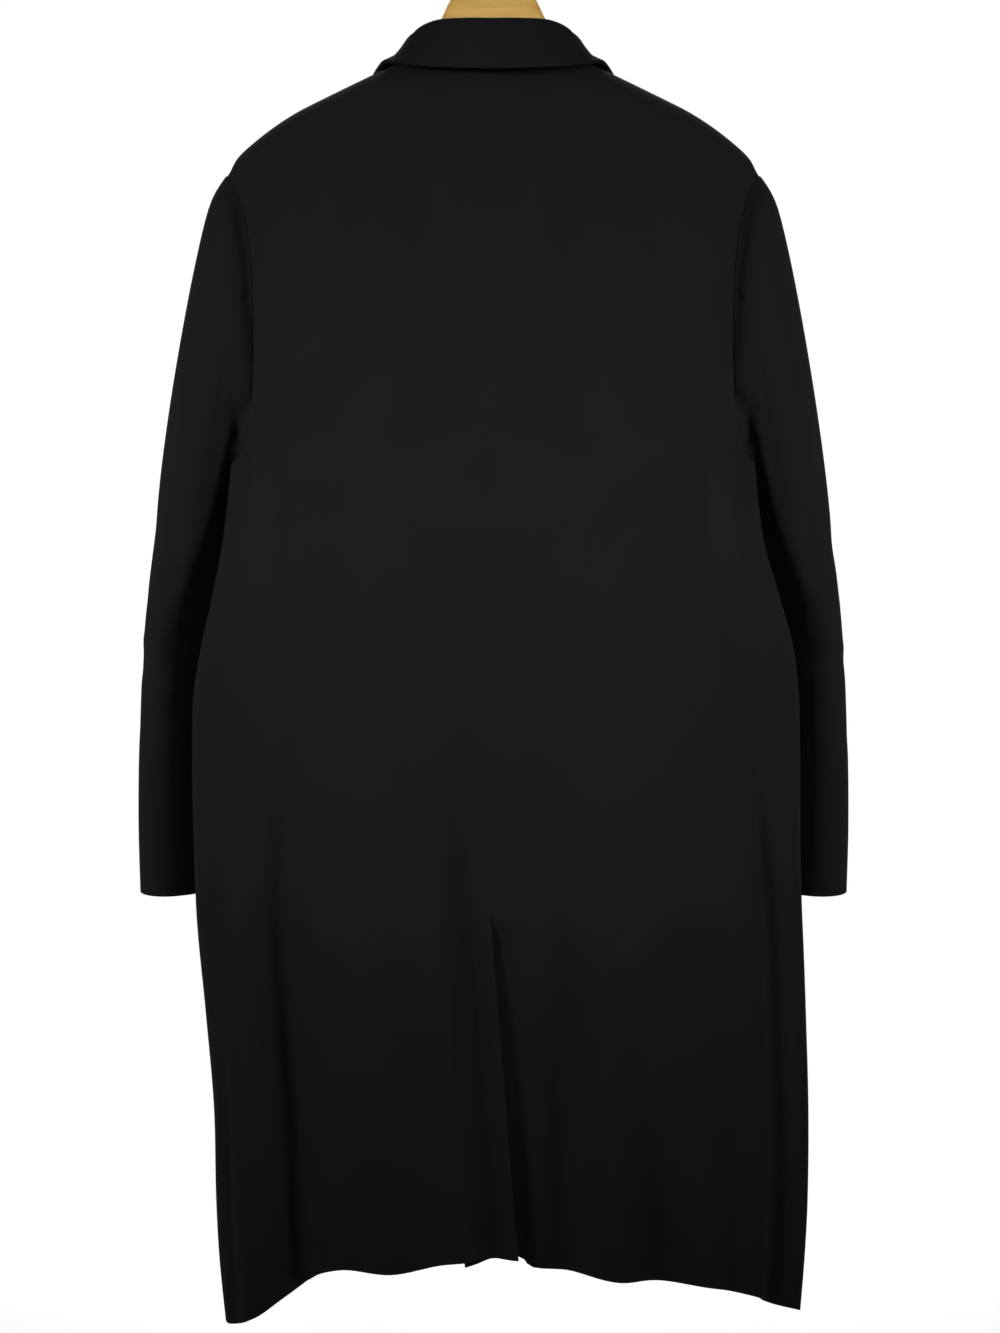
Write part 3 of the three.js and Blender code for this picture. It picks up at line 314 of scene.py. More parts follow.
def lengthAlong(points, axis):      # distance run along the grid, starting from nought
    steps = np.linalg.norm(np.diff(points, axis=axis), axis=-1)
    return np.pad(np.cumsum(steps, axis), ((1, 0), (0, 0)) if axis == 0 else ((0, 0), (1, 0)))


# sinks the cloth beside a sewn edge as a bell, and deeper beside the armhole
def pressSeams(points, normals, edges, armholes, armholeReach, depth):
    pressed = points.copy()
    across, down = lengthAlong(points, 1), lengthAlong(points, 0)
    for edge, far in (("left", across), ("right", across[:, -1:] - across), ("top", down)):
        if edge in edges:
            pressed -= normals * (depth * bell(far / seam["reach"]))[..., None]
        if edge in armholes:
            pressed -= normals * (armholes[edge] * bell(far / armholeReach))[..., None]
    return pressed


def armholeSink():      # how deep the armhole's seam lies: least at the shoulder tip, then deeper
    down = np.arange(upperRows + 1) / (seam["deepestAt"] * upperRows)
    return seam["armholeDepth"] * lerp(seam["tipShare"], 1.0, smooth(down))


vent = {"top": -747.0, "lapWidth": 42.0, "lapTopBelow": 24.0, "insetTop": 4.6, "insetHem": 19.0,
        "lapDrop": 8.0, "runIn": 9.0, "lapCells": 8, "justBelow": 0.001}
front = {"lap": 35.0, "breakZ": -345.0, "insetTop": 9.5, "insetHem": 5.0, "insetEase": 90.0,
         "clearOf": 8.0, "runIn": 75.0}
frontEdge = [(12, 83.15), (-17, 67), (-46, 54), (-345, -35)]    # height, x of the inner edge


def centreX(z):
    return np.where(z < coat["underarmZ"], tableAt(outline, z, 3), 0.0)


def frontEdgeX(z):      # neckline, roll line and front edge, as x from the centre
    return np.where(z < front["breakZ"], -front["lap"], tableAt(frontEdge, z))


def frontInset(x, z):   # how deep the right front dips where the left one laps over it
    past = (x - centreX(z) - frontEdgeX(z) + front["clearOf"] + front["runIn"]) / front["runIn"]
    below = smooth((front["breakZ"] - z) / front["insetEase"])
    return lerp(front["insetTop"], front["insetHem"], below) * smooth(past)


def ventInset(angle, z):        # how deep the right back dips under the vent's left edge
    down = np.clip((vent["top"] - z) / (vent["top"] - hemLine[0][1]), 0, 1)
    depth = lerp(vent["insetTop"], vent["insetHem"], down) * smooth((vent["top"] - z) / vent["lapTopBelow"])
    towards = smooth((angle + vent["runIn"]) / (vent["runIn"] - 1))
    return np.where(z > vent["top"], 0, depth * towards)


edgeSearches, steepest = 14, 0.99        # rounds of the search for the front's edge, largest sine


def backGrid(side, columns=64):
    share = np.linspace(0, 1, columns + 1)[None, :]
    row = rows[:, None]
    angle = np.where(row >= 0, armholeAngle(row), np.pi / 2) * share
    scale = np.where(row >= 0, sectionHalf(row, True), 1)
    return bodyPoint(True, row, side * scale * np.sin(angle))


def frontGrid(side, columns=56):
    row = rows[:, None]
    scale = np.where(row >= 0, sectionHalf(row, False), 1)
    outer = np.where(row >= 0, armholeAngle(row), np.pi / 2)
    inner = np.full_like(row, front["lap"] / coat["underarmX"])
    for _ in range(edgeSearches):           # finds the place whose x is the front edge's
        trial = bodyPoint(False, row, side * scale * inner)
        wanted = frontEdgeX(trial[..., 2]) + side * centreX(trial[..., 2])
        inner = inner + (wanted - side * trial[..., 0]) / np.where(row >= 0, scale, coat["underarmX"])
    share = np.linspace(0, 1, columns + 1)[None, :]
    angle = lerp(np.arcsin(np.clip(inner, -steepest, steepest)), outer, share)
    points = bodyPoint(False, row, side * scale * np.sin(angle))
    if side < 0:
        points[..., 1] += frontInset(points[..., 0], points[..., 2])
    return points


armhole = {"lean": 0.375, "flatRun": 0.02, "normalReach": 3}


# the armhole as a closed run of points, down the back and up the front, with the directions there
def armholeLoop(side, back, forward):
    points = np.concatenate([back[:upperRows + 1, -1], forward[1:upperRows, -1][::-1]])
    run = np.roll(points, -1, 0) - np.roll(points, 1, 0)
    away = unit(np.cross((1.0, 0, 0), run))
    lean = armhole["lean"] * (1 + away[:, 2:3])
    normal = squareTo(run, away + lean * np.array((side, 0, 0)))
    across = unit(np.cross(run, normal))
    flip = (across[:, 0] * side < 0) & (np.abs(across[:, 0]) > armhole["flatRun"])
    across[flip] *= -1
    return {"points": points, "normal": normal, "across": across}


# gives a panel the normals its neighbours share along the armhole and side seams, and the back's along the
# centre back
def seamNormals(points, normals, side, loop, isBack):
    ready = normals.copy()
    _, down = gridRuns(points)
    ready[upperRows + 1:, -1] = squareTo(down[upperRows + 1:, -1], np.array((side, 0.0, 0.0)))
    if isBack:
        ready[:, 0] = squareTo(down[:, 0], np.array((0.0, 1.0, 0.0)))
    order = np.arange(upperRows + 1)
    if not isBack:
        order = np.concatenate([[0], np.arange(2 * upperRows - 1, upperRows - 1, -1)])
    ready[:upperRows + 1, -1] = loop["normal"][order]
    for k in range(1, armhole["normalReach"]):      # the seam's normal fades in over some columns
        ready[:, -1 - k] = unit(lerp(ready[:, -1], normals[:, -1 - k], k / armhole["normalReach"]))
    return ready


# the right back past the centre line: an underlap that starts below the opening of the vent
def withUnderlap(points, normals):
    columns = points.shape[1] - 1
    angle = np.where(rows[:, None] < 0, -90 * np.arange(columns + 1)[None, :] / columns, -90)
    dipped = points - normals * ventInset(angle, points[..., 2])[..., None]
    lapCells = vent["lapCells"]
    away = np.arange(lapCells, 0, -1)[None, :] / lapCells
    row = np.minimum(rows, -vent["justBelow"])[:, None]
    lap = bodyPoint(True, row, vent["lapWidth"] * away / coat["underarmX"])
    lap[..., 1] -= ventInset(np.zeros_like(lap[..., 2]), np.minimum(lap[..., 2], vent["top"] - 1))
    lap[..., 2] -= vent["lapDrop"] * smooth(-row) ** 2 * away
    wide = np.concatenate([lap, dipped], axis=1)
    present = np.ones((len(rows) - 1, wide.shape[1] - 1), bool)
    present[:, :lapCells] = points[:-1, :1, 2] < vent["top"] - vent["lapTopBelow"]
    wideNormals = np.concatenate([np.repeat(normals[:, :1], lapCells, 1), normals], axis=1)
    return wide, wideNormals, present


sleeveSections = [      # height, centre x and y, half width sideways, fore and aft, turn in degrees
    (-385, 267, -22, 36, 67, 4), (-425, 272, -33, 36, 67, 6), (-470, 279, -45, 35, 65, 9),
    (-504, 283, -53, 34, 63, 12), (-524, 285, -57, 33, 62, 13), (-542, 287, -60, 33, 61, 13),
    (-570, 289, -65, 33, 60, 13), (-620, 292, -71, 33, 58, 13), (-680, 293, -77, 34, 56, 12),
    (-738, 293, -82, 34, 54, 10),
]
sleeve = {"capOut": 0.2, "capDown": 0.95, "cuffSlope": 8.0, "elbowZ": -524.0, "elbowHeight": 13.0,
          "elbowDepth": 5.0, "elbowAngle": 105.0, "elbowWidth": 40.0, "backSeam": 8, "frontSeam": 17,
          "steps": 24, "runBelow": 6.0, "twinShift": 6}
sleeveCreases = [       # height, slant per degree, angle, spread up and down, spread round, depth
    (-448, 0.25, 100, 9, 46, -1.6), (-486, -0.20, 120, 8, 50, -2.0), (-508, 0.15, 60, 7, 34, 1.2),
    (-542, -0.22, 95, 7, 44, -2.2), (-566, 0.18, 130, 9, 46, -1.6), (-596, -0.15, 80, 12, 36, -1.3),
    (-640, 0.20, 110, 14, 40, -1.1), (-520, 0.22, 265, 10, 52, -2.4), (-552, -0.18, 285, 9, 46, -2.0),
    (-490, 0.16, 250, 10, 44, -1.4), (-604, 0.20, 262, 13, 46, -1.6), (-420, -0.30, 40, 16, 26, -1.2),
]


# how far the sleeve's cloth dips at a height and an angle: slanted bells, repeated a turn away
def sleeveDent(z, degrees, side):
    dent = np.zeros(np.broadcast(z, degrees).shape)
    for height, slant, angle, tall, wide, depth in sleeveCreases:
        shift = sleeve["twinShift"] * side * math.sin(height)       # so that the two sleeves aren't twins
        around = (degrees - angle - shift + 180) % 360 - 180
        dent -= depth * bell((z - height - slant * around - shift) / tall) * bell(around / wide)
    return dent


# an ellipse turned so that its back edge swings outwards, dented at the elbow
def sleevePoint(side, z, degrees):
    z, degrees = np.broadcast_arrays(z, degrees)
    x, y, lateral, foreAft, turn = (tableAt(sleeveSections, z, k) for k in range(1, 6))
    angle, turned = np.radians(degrees), np.radians(turn)
    dent = (sleeve["elbowDepth"] * bell((z - sleeve["elbowZ"]) / sleeve["elbowHeight"])
            * bell((degrees - sleeve["elbowAngle"]) / sleeve["elbowWidth"]) + sleeveDent(z, degrees, side))
    across = (lateral - dent) * np.cos(angle)
    along = (foreAft - dent) * np.sin(angle)
    down = (sleeveSections[0][0] - z) / (sleeveSections[0][0] - sleeveSections[-1][0])
    return np.stack([
        side * (x + across * np.cos(turned) + along * np.sin(turned)),
        y - across * np.sin(turned) + along * np.cos(turned),
        z - sleeve["cuffSlope"] * smooth(down) * np.sin(angle) / 2,
    ], axis=-1)


# the cap goes from the armhole's loop to the first section on cubic curves, then sections follow
def sleeveGrid(side, loop, capRings=26, lowerRings=84):
    count = len(loop["points"])
    degrees = 360 * np.arange(count) / count
    start = loop["points"] + loop["across"] * seamGap / 2
    end = sleevePoint(side, float(sleeveSections[0][0]), degrees)
    below = sleevePoint(side, sleeveSections[0][0] - sleeve["runBelow"], degrees)   # the tube's own run
    reach = np.linalg.norm(end - loop["points"], axis=-1, keepdims=True)
    s = (np.arange(capRings) / capRings)[:, None, None]
    cap = cubic(start, end, loop["across"] * reach * sleeve["capOut"],
                unit(below - end) * reach * sleeve["capDown"], s)
    z = np.linspace(sleeveSections[0][0], sleeveSections[-1][0], lowerRings + 1)[:, None]
    tube = np.concatenate([cap, sleevePoint(side, z, degrees[None, :])])
    return np.concatenate([tube, tube[:, :1]], axis=1)


def tubeNormals(tube, facing):      # grid normals that agree where the tube closes
    wrapped = np.concatenate([tube[:, -2:-1], tube, tube[:, 1:2]], axis=1)
    return gridNormals(wrapped, facing)[:, 1:-1]


def between(first, last, count):    # the indexes between two seams round a closed loop
    pick = np.arange(round(first * count / sleeve["steps"]), round(last * count / sleeve["steps"]) + 1)
    return pick % count


def addCloth(node, points, normals, thickness, facing, present=None):
    clothObjects[node] = putMesh(f"{node}_cloth", points, normals, thickness, facing, present)


for side, word in ((1, "left"), (-1, "right")):
    backPoints, frontPoints = backGrid(side), frontGrid(side)
    loop = armholeLoop(side, backPoints, frontPoints)
    sink = np.pad(armholeSink(), (0, lowerRows)) * smooth((rows + seam["endsBelow"]) / seam["endsBelow"])
    for kind, points, facing in (("back", backPoints, side), ("front", frontPoints, -side)):
        normals = seamNormals(points, gridNormals(points, facing), side, loop, kind == "back")
        points = pressSeams(points, normals, ("right", "top"), {"right": sink[:, None]},
                            seam["bodyReach"], seam["depth"])
        present = None
        if kind == "back" and side < 0:
            points, normals, present = withUnderlap(points, normals)
        addCloth(f"{kind}_{word}", points, normals, clothThickness, facing, present)
    tube = sleeveGrid(side, loop)
    tubeFacing = tubeNormals(tube, -side)
    tubeFacing[0] = np.concatenate([loop["normal"], loop["normal"][:1]])
    sink = np.concatenate([armholeSink(), armholeSink()[-2:0:-1]])
    turnAround = sleeve["steps"] + sleeve["backSeam"]
    for part, first, last in (("top", sleeve["frontSeam"], turnAround),
                              ("under", sleeve["backSeam"], sleeve["frontSeam"])):
        pick = between(first, last, tube.shape[1] - 1)
        points, normals = tube[:, pick], tubeFacing[:, pick]
        points = pressSeams(points, normals, ("left", "right"), {"top": sink[pick][None, :]},
                            seam["sleeveReach"], seam["sleeveDepth"])
        addCloth(f"sleeve_{part}_{word}", points, normals, clothThickness, -side)
print("panels and sleeves made")


neckline = {"gorge": (54.0, -46.0), "notch": (99.0, -76.0), "gorgeGap": 0.9}
lapel = {"foldRadius": 4.2, "lift": 1.5, "belly": 9.0, "endZ": -338.0, "endWidth": 9.0, "notchAt": 0.6,
         "corner": (139.0, -93.0), "leafEase": 0.7, "notchFade": 3}
collar = {"foldRadius": 5.6, "footGap": 0.9, "swell": 1.5, "notchAt": 0.6, "frontFrom": 0.55,
          "sewnFrom": 0.3, "sewnOver": 0.25, "flatFrom": 0.5, "flatOver": 0.35}
push = {"rounds": 6, "step": 0.5, "mostShare": 0.95}    # how standOff and pushOut search
collarFold = [(0, 43, 40.5), (26, 41, 41), (50, 34, 41), (67, 19, 37), (76, -3, 28), (75, -24, 17),
              (67, -45, -9), (54, -60, -46)]            # centre back to gorge: x, y, height
collarEdge = [(0, 53, -7), (32, 51.5, -6), (64, 41, -2), (87, 23, 4), (101, -3, 6), (114, -24, -7),
              (126, -38, -26), (133, -48, -50)]


# the front's outer face at an x and a height; the right one dips under the left
def frontAt(x, z, side):
    x, z = np.broadcast_arrays(np.asarray(x, float), np.asarray(z, float))
    centre = tableAt(outline, z, 3)
    sine = (x - centre) / lowerHalf(x >= centre, z)
    low = z < coat["underarmZ"]
    rowUp = (z - coat["underarmZ"]) / (ridgeZ(x) - coat["underarmZ"])
    rowLow = (coat["underarmZ"] - z) / (tableAt(hemLine, degreesOf(sine, False)) - coat["underarmZ"])
    point = bodyPoint(False, np.where(low, rowLow, rowUp), np.where(low, sine, x))
    if side < 0:
        point[..., 1] += frontInset(x, z)
    return point


def frontNormal(x, z, side, step=2.0):
    across = frontAt(x + step, z, side) - frontAt(x - step, z, side)
    up = frontAt(x, z + step, side) - frontAt(x, z - step, side)
    return unit(np.cross(across, up))


# each row starts at the panel's edge, rolls over on a round fold and lies on the front
def lapelGrid(side, rowsDown=48, foldSteps=10, leafSteps=26):
    t = np.linspace(0, 1, rowsDown + 1)
    gorge, corner, notch = neckline["gorge"], lapel["corner"], neckline["notch"]
    rollZ = lerp(gorge[1] - seamGap / 2, lapel["endZ"], t)
    rollX = frontEdgeX(rollZ)
    endX = float(frontEdgeX(lapel["endZ"]))
    edgeX = lerp(corner[0], endX + lapel["endWidth"], t) + lapel["belly"] * np.sin(np.pi * t)
    edgeZ = lerp(corner[1], lapel["endZ"], t)
    base, out = frontAt(side * rollX, rollZ, side), frontNormal(side * rollX, rollZ, side)
    reach = 1 / np.hypot(edgeX - rollX, edgeZ - rollZ)
    nearby = frontAt(side * lerp(rollX, edgeX, reach), lerp(rollZ, edgeZ, reach), side)
    across = squareTo(out, nearby - base)[:, None]
    base, out = base[:, None], out[:, None]
    turn = (np.pi * np.arange(foldSteps + 1) / foldSteps)[None, :, None]
    fold = (base + across * (-seamGap - lapel["foldRadius"] * np.sin(turn))
            + out * (lapel["foldRadius"] * (1 - np.cos(turn)) - clothThickness))
    q = (np.arange(1, leafSteps + 1) / leafSteps)[None, :]
    at = lapel["notchAt"]
    bend = np.maximum(0, 1 - lapel["notchFade"] * t)[:, None] * np.where(q < at, q / at, (1 - q) / (1 - at))
    x = lerp(rollX[:, None], edgeX[:, None], q) + bend * (notch[0] - lerp(gorge[0], corner[0], at))
    z = lerp(rollZ[:, None], edgeZ[:, None], q) + bend * (notch[1] - lerp(gorge[1], corner[1], at))
    normal = frontNormal(side * x, z, side)
    height = lerp(2 * lapel["foldRadius"] - clothThickness, clothThickness + lapel["lift"],
                  smooth(q / lapel["leafEase"]))
    leaf = frontAt(side * x, z, side) + normal * height[..., None]
    return (np.concatenate([fold, leaf], axis=1),
            np.concatenate([-across * np.sin(turn) - out * np.cos(turn), normal], axis=1))


# how far points stand off the coat's shoulders, along their normals, with those normals
def standOff(points):
    def level(p):
        x, y, z = p[..., 0], p[..., 1], p[..., 2]
        ridge = ridgeZ(x)
        aside = coat["sideY"] * smooth(np.maximum(ridge - z, 0) / coat["sideReach"])
        row = np.minimum(1, (z - coat["underarmZ"]) / (ridge - coat["underarmZ"]))
        behind = y > 0
        half = np.where(behind, sectionHalf(row, True), sectionHalf(row, False))
        cosine = np.sqrt(1 - (x / half) ** 2)
        depth = np.where(behind, aside + (y - aside) / cosine ** coat["squareness"],
                         (aside - y) / cosine - aside)
        full = np.where(behind, coat["backDepth"], coat["frontDepth"])
        ease = np.where(behind, coat["backEase"], coat["frontEase"])
        share = np.minimum(push["mostShare"], (depth / full) ** 2)
        return z - ridge + ease * share / (1 - share)
    step = push["step"] * np.eye(3)
    slope = np.stack([level(points + step[k]) - level(points - step[k]) for k in range(3)], axis=-1)
    length = np.linalg.norm(slope, axis=-1)
    return level(points) / length, slope / length[..., None]


def pushOut(points, height):        # moves points that lie closer than the height, some times over
    for _ in range(push["rounds"]):
        distance, normal = standOff(points)
        points = points + normal * np.maximum(height - distance, 0)[..., None]
    return points


# a centripetal Catmull-Rom curve through guide points, read at shares of its length
def guideCurve(guide, shares, fineSteps=600):
    p = np.array(guide, float)
    p = np.concatenate([[2 * p[0] - p[1]], p, [2 * p[-1] - p[-2]]])
    knot = np.concatenate([[0], np.cumsum(np.linalg.norm(np.diff(p, axis=0), axis=1) ** 0.5)])
    fine = np.linspace(knot[1], knot[-2], fineSteps)
    i = np.clip(np.searchsorted(knot, fine, side="right") - 1, 1, len(p) - 3)
    k = [knot[i + j][:, None] for j in (-1, 0, 1, 2)]
    q = [p[i + j] for j in (-1, 0, 1, 2)]
    t = fine[:, None]

    def mix(first, last, low, high):        # straight between two points, by their knots
        return (high - t) / (high - low) * first + (t - low) / (high - low) * last
    a = [mix(q[j], q[j + 1], k[j], k[j + 1]) for j in range(3)]
    b = [mix(a[j], a[j + 1], k[j], k[j + 2]) for j in range(2)]
    curve = mix(b[0], b[1], k[1], k[2])
    run = np.concatenate([[0], np.cumsum(np.linalg.norm(np.diff(curve, axis=0), axis=1))])
    return np.stack([np.interp(shares * run[-1], run, curve[:, axis]) for axis in range(3)], axis=-1)


neckShares = (0, 0.36, 0.68, 0.9)       # places along the back neckline
neckHeights = (-2, -17, -32, neckline["gorge"][1] + neckline["gorgeGap"])      # down the front's edge


def neckSeam():         # the back neckline, then the front's edge to the gorge
    behind = [bodyPoint(True, 1.0, s * neckPlace) for s in neckShares]
    ahead = [frontAt(frontEdgeX(z), z, 1) for z in neckHeights]
    return behind + [np.array((neckPlace, 0, float(ridgeZ(neckPlace))))] + ahead


# a stand inside the neck, a round fold on top and the fall outside, from the centre back forwards
def collarGrid(columns=76, standSteps=8, foldSteps=12, fallSteps=22):
    s = np.linspace(0, 1, columns + 1)
    neck, top, edge = guideCurve(neckSeam(), s), guideCurve(collarFold, s), guideCurve(collarEdge, s)
    s = s[:, None]
    toFront = smooth((s - collar["frontFrom"]) / (1 - collar["frontFrom"]))
    sewnOn = smooth((s - collar["sewnFrom"]) / collar["sewnOver"])
    lowest = frontNormal(collarFold[-1][0], float(collarFold[-1][2]), 1)
    up = unit(lerp(np.array((0, 0, 1.0)), lowest, toFront))
    out = squareTo(up, edge - top)
    radius = collar["foldRadius"]
    flatTop = neck + up * (2 * radius - collarThickness) - out * collar["footGap"]
    top = lerp(top, flatTop, smooth((s - collar["flatFrom"]) / collar["flatOver"]))
    middle = top - up * radius
    inside = unit(out * (toFront - 1) - up * toFront)
    foot = (neck + up * collar["footGap"] * (1 - toFront) - out * collar["footGap"] * sewnOn
            + inside * collarThickness)
    k = (np.arange(standSteps) / standSteps)[:, None, None]
    stand = lerp(foot, middle - out * radius, k)
    standNormal = unit(lerp(inside, -out, k))
    turn = (np.pi * np.arange(foldSteps + 1) / foldSteps)[:, None, None]
    foldNormal = -np.cos(turn) * out + np.sin(turn) * up
    fold = middle + foldNormal * radius
    q = (np.arange(1, fallSteps + 1) / fallSteps)[:, None, None]
    fall = lerp(fold[-1], edge, q)
    at = collar["notchAt"]
    atEnd = np.maximum(0, 1 - (1 - s) * columns)        # 1 at the last column only
    bend = (np.where(q < at, q / at, (1 - q) / (1 - at)) * atEnd)[..., 0]
    edgeAt = lerp(fold[-1, -1], edge[-1], at)
    fall[..., 0] += bend * (neckline["notch"][0] - edgeAt[0])
    fall[..., 2] += bend * (neckline["notch"][1] + neckline["gorgeGap"] - edgeAt[2])
    fall = fall + out * collar["swell"] * np.sin(np.pi * q) * (1 - toFront)
    fall = pushOut(fall, collarThickness + layGap)
    points = np.concatenate([stand, fold, fall])
    normals = np.concatenate([standNormal, foldNormal, fall * 0])
    mirror = np.array((-1.0, 1, 1))
    points = np.concatenate([(points * mirror)[:, :0:-1], points], axis=1)
    normals = np.concatenate([(normals * mirror)[:, :0:-1], normals], axis=1)
    own = gridNormals(points, -1)
    normals[standSteps + foldSteps + 1:] = own[standSteps + foldSteps + 1:]
    return points, normals


for side, word in ((1, "left"), (-1, "right")):
    points, normals = lapelGrid(side)
    addCloth(f"lapel_{word}", points, normals, clothThickness, -side)
points, normals = collarGrid()
addCloth("collar", points, normals, collarThickness, -1)
print("lapels and collar made")


button = {"thickness": 4.5, "holeApart": 2.6, "heights": (-362, -480, -598), "threadRadius": 0.45,
          "threadBow": 0.5, "threadPoints": 9, "holeDepth": 0.8}
slit = {"length": 31.0, "width": 3.4, "aside": 3.0, "around": 40, "across": 8, "rise": 0.25, "stitch": 0.7,
        "flatness": 0.6, "endShare": 0.2}
startSide = np.array((0.31, 0.87, 0.38))        # lies along no tube's run


# a tube round a run of centres: rings square to the run, closed by flat ends
def tubeMesh(name, centres, radius, around=10):
    centres = np.asarray(centres, float)
    run = unit(np.gradient(centres, axis=0))
    side = np.empty_like(run)
    side[0] = squareTo(run[0], startSide)
    for k in range(1, len(run)):            # carries the first side along, so the tube doesn't twist
        side[k] = squareTo(run[k], side[k - 1])
    other = np.cross(run, side)
    turn = turnsRound(around)
    rings = (centres[:, None] + radius * (side[:, None] * np.cos(turn)[None, :, None]
                                          + other[:, None] * np.sin(turn)[None, :, None]))
    return cappedMesh(name, rings)


# rings of points joined into one closed skin, with a flat face at each end
def cappedMesh(name, rings):
    count, around = rings.shape[:2]
    index = np.arange(count * around).reshape(count, around)
    ahead = np.roll(index, -1, 1)
    quads = np.stack([index[:-1], ahead[:-1], ahead[1:], index[1:]], -1).reshape(-1, 4)
    mesh = bpy.data.meshes.new(name)
    ends = [index[0][::-1].tolist(), index[-1].tolist()]
    mesh.from_pydata(inFrame(rings).tolist(), [], quads.tolist() + ends)
    mesh.validate()
    mesh.shade_smooth()
    mesh.set_sharp_from_angle(angle=math.radians(tubeSharp))
    return addObject(name, mesh)


threads, slits = [], []
for number, z in enumerate(button["heights"], 1):
    x = float(centreX(np.array(float(z))))
    normal = frontNormal(x, float(z), 1)
    sideways = squareTo(normal, np.array((1.0, 0, 0)))
    upward = np.cross(normal, sideways)
    base = frontAt(x, float(z), 1) + normal * layGap
    s = np.linspace(-1, 1, button["threadPoints"])[:, None]
    inHole = normal * button["thickness"] * button["holeDepth"]
    for row in (-1, 1):                     # a bar of thread from hole to hole, bowed over the middle
        top = button["thickness"] - button["threadBow"] * s**4
        bar = base + normal * top + (sideways * s + upward * row) * button["holeApart"]
        bar = np.concatenate([bar[:1] - inHole, bar, bar[-1:] - inHole])
        threads.append(tubeMesh(f"thread_{number}_{'ab'[row > 0]}", bar, button["threadRadius"]))
    # the worked buttonhole: a flat ring of stitches round a slit, lying on the left front
    turn = turnsRound(slit["around"])
    alongX = np.cos(turn) * slit["length"] / 2 + slit["aside"]
    alongZ = np.sin(turn) * slit["width"] / 2
    middle = frontAt(x + alongX, z + alongZ, 1)
    lift = frontNormal(x + alongX, z + alongZ, 1)
    turns, cross = np.meshgrid(turn, turnsRound(slit["across"]))
    outward = unit(sideways * np.cos(turn)[:, None] * slit["endShare"] + upward * np.sin(turn)[:, None])
    ring = (middle + lift * slit["rise"])[None] + slit["stitch"] * (
        outward[None] * np.cos(cross)[..., None] + lift[None] * slit["flatness"] * np.sin(cross)[..., None])
    ringIndex = np.arange(cross.size).reshape(cross.shape)
    nextTurn, nextCross = np.roll(ringIndex, -1, 1), np.roll(ringIndex, -1, 0)
    quads = np.stack([ringIndex, nextCross, np.roll(nextCross, -1, 1), nextTurn], -1).reshape(-1, 4)
    flat = np.stack([turns.ravel(), cross.ravel()], -1) * millimetre
    slits.append(meshFrom(f"buttonhole_{number}", inFrame(ring), quads, flat))
print("buttons' thread and buttonholes made")


hanger = {"reach": 206.0, "below": 7.5, "height": 36.0, "arch": 8.0, "halfDepth": 13.0, "neckTop": 88.0,
          "neckSlim": 60.0, "slimShare": 0.86, "tipRound": 16.0, "corner": 0.75,
          "evenShare": 0.62, "crowding": 3, "leastTip": 0.02, "slimReach": 12.0}
hangerNeck = [(0, 88), (18, 87), (30, 80), (39, 67), (46, 52), (56, 34), (70, 18)]     # x, top's height
hook = {"wire": 2.0, "crookRadius": 20.0, "stemInWood": 34.0, "endAngle": -30.0, "startAngle": 215.0,
        "turnStep": 20.0, "bendRoom": 14.0, "stemShares": (0, 0.4, 0.8, 1), "inside": 1.0, "points": 160}


def hangerRings(sections=220, around=48):
    s = np.linspace(-1, 1, sections + 1)
    away = np.abs(s)
    even = hanger["evenShare"]              # the rest crowds the rings towards both tips
    x = hanger["reach"] * np.sign(s) * (even * away
                                        + (1 - even) * np.sin(np.pi / 2 * away ** hanger["crowding"]))
    # ends run round: the last tipRound millimetres shrink as a quarter circle does
    fromTip = np.maximum(0, (np.abs(x) - hanger["reach"] + hanger["tipRound"]) / hanger["tipRound"])
    tip = np.sqrt(np.maximum(hanger["leastTip"], 1 - fromTip**2))
    arm = ridgeZ(x) - hanger["below"]
    top = np.where(np.abs(x) < hangerNeck[-1][0], np.maximum(arm, tableAt(hangerNeck, np.abs(x))), arm)
    low = arm - hanger["height"] + hanger["arch"] * (1 - np.abs(x) / hanger["reach"]) ** 2
    slimReach = hanger["slimReach"]
    slim = lerp(1.0, hanger["slimShare"], smooth((top - hanger["neckSlim"] + slimReach) / (2 * slimReach)))
    thin = (hanger["halfDepth"] * tip * slim)[:, None]
    turn = turnsRound(around)[None, :]
    c = np.sign(np.cos(turn)) * np.abs(np.cos(turn)) ** hanger["corner"]
    k = np.sign(np.sin(turn)) * np.abs(np.sin(turn)) ** hanger["corner"]
    z = ((top + low) / 2)[:, None] + ((top - low) / 2 * tip)[:, None] * k
    return np.stack([np.broadcast_to(x[:, None], z.shape), thin * c, z], -1)


def hookPath():
    radius = hook["crookRadius"] + hook["wire"]
    middle = neckDrop - hook["crookRadius"]
    foot = hanger["neckTop"] - hook["stemInWood"] + hook["inside"]
    stemTop = middle - radius - hook["bendRoom"]
    points = [(0, 0, lerp(foot, stemTop, share)) for share in hook["stemShares"]]
    for degrees in np.arange(hook["startAngle"], hook["endAngle"] - 1, -hook["turnStep"]):
        angle = math.radians(degrees)
        points.append((radius * math.cos(angle), 0, middle + radius * math.sin(angle)))
    return guideCurve(points, np.linspace(0, 1, hook["points"]))


wood = cappedMesh("hanger_wood", hangerRings())
wire = tubeMesh("hanger_wire", hookPath(), hook["wire"], around=20)
print("hanger made")


def newMaterial(name):
    made = bpy.data.materials.new(name)
    made.use_nodes = True
    nodes, links = made.node_tree.nodes, made.node_tree.links
    return made, nodes, links, nodes["Principled BSDF"]


def setInputs(node, values):
    for name, value in values.items():
        node.inputs[name].default_value = value


def noiseNode(nodes, links, vector, scale, detail=4.0, roughness=0.55):
    node = nodes.new("ShaderNodeTexNoise")
    setInputs(node, {"Scale": scale, "Detail": detail, "Roughness": roughness})
    links.new(vector, node.inputs["Vector"])
    return node.outputs["Fac"]


